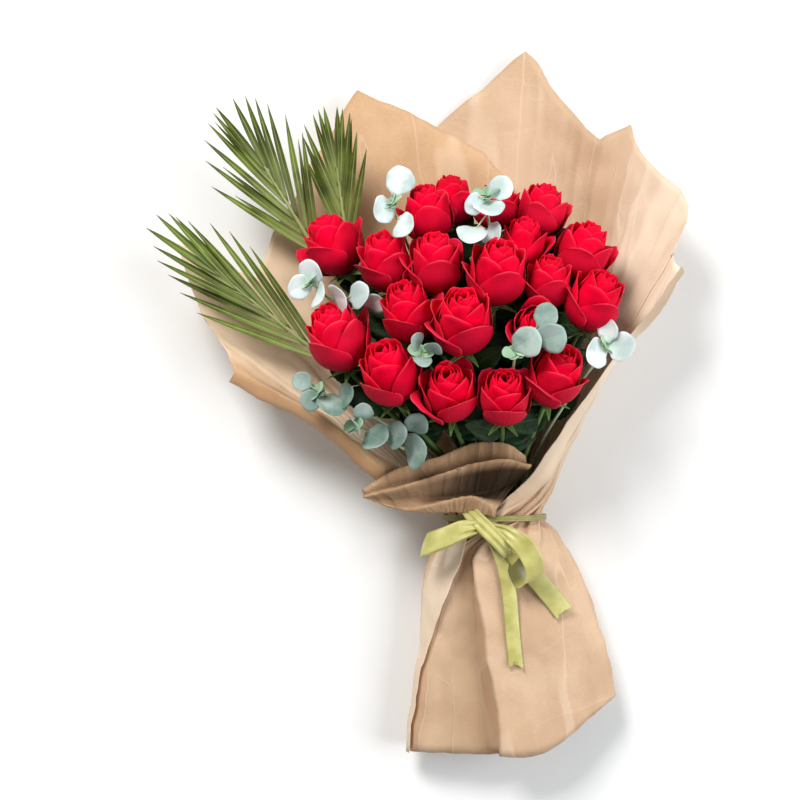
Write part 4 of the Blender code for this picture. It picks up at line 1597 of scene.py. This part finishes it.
def crease_net(rows, streak, amount, gathered=1.0):
    """Folds a fine net: gathers, streaks along its lines, and crumples by place."""
    tall, wide = len(rows), len(rows[0])
    creased = []
    for j in range(tall):
        row = []
        for i in range(wide):
            point = rows[j][i]
            up = rows[min(j + 1, tall - 1)][i] - rows[max(j - 1, 0)][i]
            side = rows[j][min(i + 1, wide - 1)] - rows[j][max(i - 1, 0)]
            normal = side.cross(up)
            if normal.length > 0:
                normal.normalize()
            wave = ridged(Vector((i / wide * FOLDS_ACROSS, j / tall * 1.6, 7)), 1.0) - 0.4
            fold = wave * streak(j / (tall - 1)) + gathers(point, i / wide) * gathered
            moved = point + normal * fold + crumple(point, amount)
            loft = min(1.0, point.z / LYING_HEIGHT)
            moved = point.lerp(moved, 0.35 + 0.65 * loft)
            moved.z = max(moved.z, PAPER_FLOOR + 0.02 * (j % 2))
            row.append(moved)
        creased.append(row)
    return creased


print("folds across a sheet:", FOLDS_ACROSS)

# %% [markdown]
# ## The flap and the long fold
# The sheet's last edge laps over the skirt and stands off a little. Beside it a panel sinks
# under the next one, along a fold that runs from the tie to the hem. Both only move points
# that the net already has. Then a net becomes a piece of paper with its thickness.

# %% Rules that fold the skirt, and the piece of paper
PAPER = 0.6
FLAP_LIFT = 3.0
# Fine columns to each column of the net
COLUMN_STEPS = 12
# How far the panel beside the fold sinks, and how far the next one stands up and laps over
PANEL_DIP = 16.0
FOLD_STEP = 3.0
FOLD_LAP = 5.0
# Where the fold starts under the tie, and over what length it comes to its full depth
FOLD_START_Y = -138
FOLD_RUN_IN = 40


def lift_flap(row, reach):
    """Bends the last points of a skirt's row outward, so that its edge stands off."""
    wide = len(row)
    middle = sum(row, Vector((0, 0, 0))) / wide
    for i in range(wide - reach, wide):
        out = row[i] - middle
        out.y = 0
        share = (i - wide + reach) / reach
        row[i] = row[i] + out.normalized() * FLAP_LIFT * share * share


def press_fold(row):
    """Sinks the panel beside the flap, and lets the next one lap over it at the long fold."""
    edge = FOLD_COLUMN * COLUMN_STEPS
    for i, point in enumerate(row):
        begins = min(1.0, max(0.0, (FOLD_START_Y - point.y) / FOLD_RUN_IN))
        if i <= edge:
            row[i] = point - Vector((0, 0, PANEL_DIP)) * begins * (i / edge) ** 1.15
        else:
            near = max(0.0, 1 - (i - edge - 1) / COLUMN_STEPS)
            row[i] = point + Vector((-FOLD_LAP * near, 0, FOLD_STEP)) * begins * near


def paper_piece(name, rows, material, node):
    """A creased net as a sheet of paper that stands for its solid."""
    mesh = grid_mesh(name, rows)
    mesh.materials.append(material)
    sheet = show(name, mesh)
    thicken(sheet, PAPER)
    return hand_over(bake(sheet), "kraft_paper", node)


print("paper is", PAPER, "mm thick here")

# %% [markdown]
# ## The colour of kraft paper
# Kraft is unbleached pulp, so its warm tan is never even: fibres and flecks show close up,
# and soft clouds from further off. Each crease breaks the surface, which leaves a paler line
# along its ridge. The two sheets and the collar share this pulp, as a group with its own
# colours for each of them.

# %% Kraft pulp


def kraft_group():
    """The pulp of kraft paper: its colour, and a height for its fibres and creases."""
    tree, given, result = new_tree(
        "Kraft Pulp",
        "ShaderNodeTree",
        (
            ("Vector", "NodeSocketVector", None),
            ("Light Colour", "NodeSocketColor", (0.75, 0.52, 0.35, 1)),
            ("Dark Colour", "NodeSocketColor", (0.5, 0.33, 0.2, 1)),
            ("Crease Size", "NodeSocketFloat", 26.0),
        ),
        (("Colour", "NodeSocketColor"), ("Height", "NodeSocketFloat")),
    )
    place = given["Vector"]
    drawn_out = add_node(tree, "ShaderNodeMapping", {"Vector": place, "Scale": (260, 1500, 900)})
    fibres = noise_texture(tree, drawn_out.outputs[0], 1.0, 3.0, 0.7)
    clouds = noise_texture(tree, place, 14.0, 4.0)
    tone = (clouds * 0.7 + fibres * 0.3).ramp(0.38, 0.62)
    base = blend_colours(tree, tone, given["Dark Colour"], given["Light Colour"])
    flecks = noise_texture(tree, place, 1100.0, 1.0).ramp(0.70, 0.76)
    flecked = blend_colours(tree, flecks * 0.35, base, (0.30, 0.18, 0.10, 1))

    wander = {0: noise_texture(tree, place, 30.0, 2.0), 1: (0.03, 0.03, 0.03), 2: place}
    swayed = add_node(tree, "ShaderNodeVectorMath", wander, operation="MULTIPLY_ADD")
    cells = {"Vector": swayed.outputs[0], "Scale": given["Crease Size"]}
    cracks = add_node(tree, "ShaderNodeTexVoronoi", cells, feature="DISTANCE_TO_EDGE")
    facets = Field(tree, cracks.outputs["Distance"])
    faint = noise_texture(tree, place, 21.0, 1.0).ramp(0.46, 0.6)
    crease = facets.ramp(0.0, 0.035, 1.0, 0.0) * faint
    pale = blend_colours(tree, crease * 0.06, flecked, (0.88, 0.72, 0.55, 1))
    plug(tree, pale, result["Colour"])
    plug(tree, fibres * 0.12 + crease * 0.25 + facets * 0.7, result["Height"])
    return tree


KRAFT_PULP = kraft_group()


def long_creases(tree, across, up):
    """Thin lines that wander from the neck to the rim, and the slopes beside them."""
    spot = vector(tree, across * 4.5, up * 1.1)
    level = abs(noise_texture(tree, spot, 1.0, 1.0) - 0.5)
    return level.ramp(0.0, 0.010, 1.0, 0.0), level.ramp(0.0, 0.12)


def kraft_material(name, light, dark, crease_size, painted_light_and_shade):
    """Kraft for one sheet, made paler or browner in places by painted light and shade."""
    material, tree, shader = new_material(name, 0.72, specular=0.2)
    across, up = attribute(tree, "across"), attribute(tree, "up")
    values = {"Vector": object_place(tree), "Light Colour": light, "Dark Colour": dark}
    pulp, relief = use_group(tree, KRAFT_PULP, {**values, "Crease Size": crease_size})
    line, slope = long_creases(tree, across, up)
    lined = blend_colours(tree, line * 0.22, pulp, (0.90, 0.74, 0.56, 1))
    plug(tree, painted_light_and_shade(tree, lined, across, up), shader.inputs["Base Color"])
    bump(tree, shader, relief + (line - slope * 2.5) * 0.5, 1.2, 0.6)
    return material


print("shared group:", KRAFT_PULP.name)

# %% [markdown]
# ## Painted light and shade on the kraft
# The wings, the flap and the folded strip are made paler: that is painted light. The rolled
# lip, the panel beside the long fold, the strip's turned edge, the whole collar and most of
# all its hollow are made browner: that is painted shade. Each sheet's own `across` and `up`
# say where those places are. `across` runs from -1 to 1 round the bouquet, and `up` from 0
# at the hem to 1 at the rim.

# %% Painted light and shade on the two sheets and the collar


def inner_painted_light_and_shade(tree, front, across, up):
    """Painted light makes the inner sheet paler on its wing, and painted shade browns its rolled
    lip.
    """
    # Painted light: the left wing is made paler
    wing = across.ramp(-0.84, -0.76) * across.ramp(0.15, -0.15)
    pale = blend_colours(tree, wing * 0.65, front, (0.90, 0.72, 0.53, 1))
    # Painted shade: the rolled lip at the lower left is made browner
    lip = across.ramp(-0.90, -0.86, 0.55, 0.0)
    return blend_colours(tree, lip, pale, (0.42, 0.22, 0.10, 1))


def outer_painted_light_and_shade(tree, front, across, up):
    """Painted light pales wing, flap and strip; painted shade browns the fold's panel and turned
    edge.
    """
    skirt = up.ramp(0.44, 0.36)
    # Painted light: the right wing, the flap and the folded strip are made paler
    wing = up.ramp(0.55, 0.75) * across.ramp(-0.05, -0.4)
    flap = skirt * across.ramp(0.7, 0.88)
    strip = up.ramp(0.74, 0.86) * across.ramp(-0.76, -0.84)
    light = (wing.larger(flap) * 0.6).larger(strip * 0.95)
    pale = blend_colours(tree, light, front, (0.88, 0.74, 0.58, 1))
    fold = 2 * FOLD_COLUMN / (len(OUTER_LINES) + len(OUTER_RIM) - 1) - 1
    # Painted shade: the panel beside the long fold and the strip's turned edge are made browner
    panel = across.ramp(-1.0, fold) * across.ramp(fold + 0.02, fold) * skirt * 0.5
    turned = up.ramp(0.84, 0.93) * across.ramp(-0.89, -0.91)
    return blend_colours(tree, panel.larger(turned * 0.6), pale, (0.36, 0.22, 0.12, 1))


def collar_painted_shade(tree, front, across, up):
    """Painted shade: the collar's hollow is nearly black, and its groove is half as dark."""
    hollow = up.ramp(0.505, 0.56) * up.ramp(0.83, 0.77) * across.ramp(-0.5, 0.35, 0.35, 1.0)
    groove = up.ramp(0.22, 0.32) * up.ramp(0.46, 0.36)
    shade = hollow.larger(groove * 0.5) * 0.95
    return blend_colours(tree, shade, front, (0.02, 0.009, 0.004, 1))


KRAFT_OUTER = kraft_material(
    "kraft_sheet", (0.67, 0.47, 0.315, 1), (0.56, 0.37, 0.235, 1), 14.0, outer_painted_light_and_shade
)
KRAFT_INNER = kraft_material(
    "kraft_inner", (0.67, 0.44, 0.26, 1), (0.55, 0.34, 0.19, 1), 14.0, inner_painted_light_and_shade
)
# The collar is the same paper as the sheets; its darker kraft is painted shade
KRAFT_COLLAR_SHADED = kraft_material(
    "kraft_collar", (0.54, 0.335, 0.195, 1), (0.40, 0.235, 0.125, 1), 18.0, collar_painted_shade
)
print("kraft finishes:", KRAFT_OUTER.name, KRAFT_INNER.name, KRAFT_COLLAR_SHADED.name)

# %% [markdown]
# ## The two sheets
# The outer sheet makes the skirt, goes through the neck in deep pleats, and opens into the
# back with its peaks, the right wing and the folded strip at the front. The inner sheet
# makes the left wing, the left peak and the rolled lip at the lower left.

# %% Outer and inner sheet
SHEET_CRUMPLE = 2.8
OUTER_BELLY = 16
INNER_BELLY = 2
INNER_TAIL = Vector((0, -24, 0))
# The angle in the neck where the outer sheet starts, and how far round it goes
NECK_START = 105
NECK_TURN = 281
# The fine rows from the hem up that the flap and the fold shape, and the flap's columns
FOLDED_ROWS = 52
FLAP_COLUMNS = 16

outer = sheet_net(
    OUTER_LINES, OUTER_LINE_ANGLES, OUTER_RIM, OUTER_NECK_RING, OUTER_PLEAT, OUTER_BELLY
)
columns = len(outer[0])
for i in range(columns):
    share = i / (columns - 1)
    fold = OUTER_PLEAT * (1 if i % 2 else -1) - 2 * (1 - share) ** 4
    outer[0][i] = neck_point(NECK_START - NECK_TURN * share, OUTER_NECK_RING, fold)
net = skirt_net(columns, OUTER_PLEAT) + outer
net = finer(net, 9, COLUMN_STEPS, lambda v: 0.9 - max(0.0, v - 0.7) * 2.8)
net = crease_net(net, lambda v: 1.2 + 1.5 * v, SHEET_CRUMPLE)
for row in net[:FOLDED_ROWS]:
    lift_flap(row, FLAP_COLUMNS)
    press_fold(row)
outer_sheet = paper_piece("paper_outer_wrap", net, KRAFT_OUTER, "paper_outer_sheet")

inner = sheet_net(
    INNER_LINES, INNER_LINE_ANGLES, INNER_RIM, INNER_NECK_RING, INNER_PLEAT, INNER_BELLY
)
net = [[point + INNER_TAIL for point in inner[0]]] + inner
net = finer(net, 11, 10, lambda v: 0.9 - max(0.0, v - 0.5) * 1.7)
net = crease_net(net, lambda v: 2.8 * v, SHEET_CRUMPLE, 0.4)
inner_sheet = paper_piece("paper_inner_wrap", net, KRAFT_INNER, "paper_inner_sheet")
print("sheet faces:", len(outer_sheet.data.polygons), len(inner_sheet.data.polygons))

# %% [markdown]
# ## The collar
# In front of the neck the paper is gathered and folded to and fro, which gives the bunch a
# soft ruffled collar. It is one strip of the same paper, so it is one net as well: its rows
# run from left to right and its folds go in and out.

# %% Collar
# The collar's folds, each a line of points from the left lobe to the right end
COLLAR = (
    ((-41, -90, 78), (0, -90, 66), (28, -92, 62), (52, -90, 62), (76, -86, 62), (100, -78, 66)),
    (
        (-56, -86, 89), (-20, -66, 96), (19, -54, 99), (51, -42, 108), (83, -42, 118),
        (101, -53, 96),
    ),
    ((-54, -90, 92), (-18, -80, 94), (19, -74, 95), (52, -66, 99), (84, -60, 111), (103, -62, 90)),
    (
        (-55, -93, 96), (-21, -84, 102), (19, -71, 107), (52, -61, 111), (83, -56, 120),
        (107, -63, 95),
    ),
    ((-48, -95, 91), (-16, -96, 89), (19, -98, 86), (48, -96, 86), (72, -91, 84), (96, -78, 82)),
    ((-44, -98, 90), (-10, -106, 88), (24, -98, 99), (48, -92, 102), (61, -98, 95), (74, -106, 86)),
    (
        (-30, -104, 88), (5, -109, 85), (26, -109, 85), (44, -109, 85), (58, -110, 84),
        (73, -113, 82),
    ),
)

HOLLOW = 4
HOLLOW_SHIFT = Vector((0, 3, -9))
HOLLOW_DEPTHS = (0.0, 0.2, 0.7, 1.0, 1.0, 0.4)


def collar_folds():
    """The collar's folds, its hollow pushed back under the fold that hangs over it."""
    folds = [[Vector(point) for point in row] for row in COLLAR]
    for i, depth in enumerate(HOLLOW_DEPTHS):
        folds[HOLLOW][i] = folds[HOLLOW][i] + HOLLOW_SHIFT * depth
    return folds


net = finer(collar_folds(), 10, 14, lambda v: 1.0, 0.35)
net = crease_net(net, lambda v: 0.7, 1.2, 0.0)
collar = paper_piece("paper_collar_ruffle", net, KRAFT_COLLAR_SHADED, "paper_collar")
print("collar faces:", len(collar.data.polygons))

# %% [markdown]
# ## Satin ribbon
# One satin ribbon goes round the neck and is tied into a bow. The knot pinches it, so the
# loops and tails start as a bundle of small folds and widen from there. Satin shines along
# its weave: the bright band on each bend is its highlight. Where a strip lies in shade, its
# colour is darkened as painted shade.

# %% Satin material


def satin_material():
    """Olive satin, darker at its woven edges, and darkened where a strip stores painted shade."""
    material, tree, shader = new_material("satin_olive", 0.36, sheen=0.2, specular=0.45)
    shader.inputs["Anisotropic"].default_value = 0.5
    place = object_place(tree)
    across = attribute(tree, "across")
    colour, _ = use_patches(tree, place, 60.0, (0.60, 0.56, 0.20, 1), (0.46, 0.43, 0.12, 1))
    edge = abs(across).ramp(0.90, 0.97) * 0.12
    edged = blend_colours(tree, edge, colour, (0.20, 0.19, 0.05, 1))
    # Painted shade: a strip's stored share darkens it nearly to black
    back = attribute(tree, "reverse") * 0.85
    with_painted_shade = blend_colours(tree, back, edged, (0.10, 0.085, 0.02, 1))
    plug(tree, with_painted_shade, shader.inputs["Base Color"])
    bands = {"Vector": vector(tree, attribute(tree, "up") * 60.0, across), "Scale": 12.0}
    weave = add_node(tree, "ShaderNodeTexWave", bands, wave_type="BANDS", bands_direction="X")
    threads = noise_texture(tree, place, 1500.0, 2.0)
    bump(tree, shader, Field(tree, weave.outputs["Fac"]) * 0.3 + threads, 0.05, 0.5)
    return material


SATIN = satin_material()
print("the ribbon is painted with", SATIN.name)

# %% [markdown]
# ## The bow
# Each loop and tail follows a line of middle points. Its width is narrow at the knot and
# full further out, and ripples cross it where it is pinched. Every strip also stores how
# much painted shade it gets.

# %% The measures of the bow
RIBBON = 0.35
RIBBON_WIDTH = 24
# Each strip's middle points, and the way its width points
LEFT_LOOP = (
    (
        (62, -122, 89), (42, -125, 98), (18, -134, 97), (4, -140, 89), (14, -138, 82),
        (38, -129, 83), (60, -124, 85),
    ),
    (-0.28, -0.96, 0.0),
)
RIGHT_LOOP = (
    (
        (66, -121, 85), (82, -126, 82), (91, -144, 80), (96, -166, 82), (104, -177, 91),
        (110, -162, 102), (100, -141, 104), (82, -126, 96), (68, -121, 89),
    ),
    (0.9, 0.35, 0.1),
)
# The way the right loop's width points where it comes back to the knot
LOOP_TURN = (0.75, 0.6, 0.3)
RIGHT_TAIL = (
    ((68, -128, 84), (92, -150, 81), (112, -172, 77), (128, -191, 71), (142, -209, 67)),
    (0.8, 0.6, 0.0),
)
# The strap that goes over the knot, from the upper left to the lower right
STRAP = (
    ((42, -99, 74), (50, -110, 89), (62, -122, 97), (76, -136, 97), (85, -146, 89), (87, -149, 74)),
    (0.7, 0.7, 0.1),
)
LONG_TAIL = (
    ((64, -130, 84), (78, -152, 80), (86, -182, 76), (90, -222, 73), (94, -262, 71)),
    (1.0, -0.1, 0.0),
)
print("middle points of the right loop:", len(RIGHT_LOOP[0]))

# %% [markdown]
# ## Strips of ribbon
# A strip is a grid along its middle line. At each point of the line, the way of the width and
# the way of the run give the third direction, in which the ribbon ripples.

# %% Strips
STRIP_COLUMNS = 13


def satin_strip(name, rows, reverse, closed=False):
    """Satin on rows of points; reverse gives each row's share of painted shade."""
    mesh = grid_mesh(name, rows, closed)
    mesh.attributes.new("reverse", "FLOAT", "POINT")
    for k, value in enumerate(mesh.attributes["reverse"].data):
        value.value = reverse[k // len(rows[0])]
    mesh.materials.append(SATIN)
    return show(name, mesh)


def ribbon_strip(name, shape, width, pinch, notch=0.0, last_way=None, reverse=0.0):
    """A strip on its middle line, pinched where pinch says so, maybe notched at its end.

    Up to the share called reverse, the strip is darkened as painted shade.
    """
    points, width_way = shape
    first_way = Vector(width_way).normalized()
    last_way = Vector(last_way or width_way).normalized()
    line = bent(points, 9)
    rows = []
    shade_rows = []
    for j, middle in enumerate(line):
        share = j / (len(line) - 1)
        way = first_way.lerp(last_way, share).normalized()
        before, after = line[max(j - 1, 0)], line[min(j + 1, len(line) - 1)]
        run = (after - before).normalized()
        normal = run.cross(way).normalized()
        tight = pinch(share)
        row = []
        for i in range(STRIP_COLUMNS):
            u = 2 * i / (STRIP_COLUMNS - 1) - 1
            ripple = math.sin(u * 8 + 1) * 2.4 * tight + math.cos(u * 1.5) * 1.2 * (1 - tight)
            point = middle + way * (width / 2 * u * (1 - 0.62 * tight)) + normal * ripple
            if notch and j == len(line) - 1:
                point = point - run * notch * (1 - abs(u))
            row.append(point)
        rows.append(row)
        shade_rows.append(min(1.0, max(0.0, (reverse - share) * 12)))
    return satin_strip(name, rows, shade_rows)


print("points across a strip:", STRIP_COLUMNS)

# %% [markdown]
# ## The band and the knot
# The band is such a grid too, closed to a ring round the neck and gathered into small folds.
# The knot's wad is a swollen ring of folds, and the strap hides most of it.

# %% Band and knot
BAND_WIDTH = 5.5
BAND_RING = (51.2, 38.4)
# The band's share of painted shade
BAND_PAINTED_SHADE = 0.6
KNOT = Vector((64, -124, 84))
KNOT_WIDE = 8.5
KNOT_DEEP = 6.5
KNOT_LONG = 10.0
KNOT_LEAN = 3.0


def band_strip():
    """The turn of ribbon round the neck, gathered into small folds."""
    rows = []
    for j in range(9):
        across = j / 4 - 1
        row = []
        for k in range(96):
            angle = 360 * k / 96
            fold = 0.9 * math.sin(across * 9 + math.radians(angle) * 2) - 0.3
            place = neck_point(angle, BAND_RING, fold)
            row.append(place + Vector((0, across * BAND_WIDTH * 0.5, 0)))
        rows.append(row)
    return satin_strip("band", rows, [BAND_PAINTED_SHADE] * len(rows), closed=True)


def build_knot():
    """The wad of ribbon inside the knot, under the strap, with folds along it."""
    rows = []
    for j in range(21):
        across = j / 10 - 1
        row = []
        for k in range(40):
            angle = 2 * math.pi * k / 40
            swell = math.sqrt(max(0.0, 1 - across**2)) ** 0.7
            fold = 1 + 0.08 * math.sin(6 * angle + across * 2)
            x = KNOT_WIDE * swell * fold * math.cos(angle) + across * KNOT_LEAN
            z = KNOT_DEEP * swell * fold * math.sin(angle)
            row.append(KNOT + Vector((x, -across * KNOT_LONG, z)))
        rows.append(row)
    mesh = grid_mesh("knot", rows, closed=True)
    mesh.materials.append(SATIN)
    mesh.shade_smooth()
    return hand_over(show("ribbon_knot_satin", mesh), "satin_ribbon", "ribbon_bow")


print("the band runs round a ring of", [2 * radius for radius in BAND_RING], "mm")

# %% [markdown]
# ## The bow put together
# How tightly a strip is pinched depends on where it meets the knot: a loop at both its ends,
# a tail at its first, and the strap over its whole length. The strips are baked and joined,
# because they are one ribbon.

# %% Loops, tails and strap


def both_ends(share):
    """The pinch of a loop, which starts and ends in the knot."""
    return max(0.0, 1 - min(share, 1 - share) * 4.5)


def first_end(share):
    """The pinch of a tail, which starts in the knot."""
    return max(0.0, 1 - share * 3.5)


def whole_length(share):
    """The pinch of the strap, which is drawn tight over the knot."""
    return 0.3 + 0.25 * both_ends(share)


strips = [
    band_strip(),
    ribbon_strip("left_loop", LEFT_LOOP, RIBBON_WIDTH, both_ends),
    # The right loop's lower layer gets painted shade, for the shade of its upper layer
    ribbon_strip(
        "right_loop", RIGHT_LOOP, RIBBON_WIDTH * 0.85, both_ends, last_way=LOOP_TURN, reverse=0.5
    ),
    ribbon_strip("right_tail", RIGHT_TAIL, RIBBON_WIDTH * 0.8, first_end, notch=9),
    ribbon_strip("long_tail", LONG_TAIL, RIBBON_WIDTH * 0.6, first_end, notch=7),
    ribbon_strip("strap", STRAP, RIBBON_WIDTH * 0.8, whole_length),
]
for strip in strips:
    thicken(strip, RIBBON)
bow = join("ribbon_bow_satin", [bake(strip) for strip in strips])
hand_over(bow, "satin_ribbon", "ribbon_bow")
knot = build_knot()
print("strips in the bow:", len(strips))

# %% [markdown]

# %% [markdown]
# ## The string tie
# Under the paper a string holds all the stems. Its solid has the right shape, so it stays,
# and only its finish is made: two plies that turn round each other.

# %% Twine material for the string
twine, tree, shader = new_material("twine_plies", 0.85, sheen=0.2, specular=0.2)
place = object_place(tree)
straw, _ = use_patches(tree, place, 240.0, (0.62, 0.50, 0.32, 1), (0.42, 0.31, 0.18, 1))
plug(tree, straw, shader.inputs["Base Color"])
bands = {"Vector": place, "Scale": 260.0, "Distortion": 1.5}
ply = add_node(tree, "ShaderNodeTexWave", bands, wave_type="BANDS", bands_direction="DIAGONAL")
bump(tree, shader, ply.outputs["Fac"], 0.5, 0.8)
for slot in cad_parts["string_tie"].material_slots:
    slot.material = twine
print("the string is painted with", twine.name)

# %% [markdown]
# ## The end
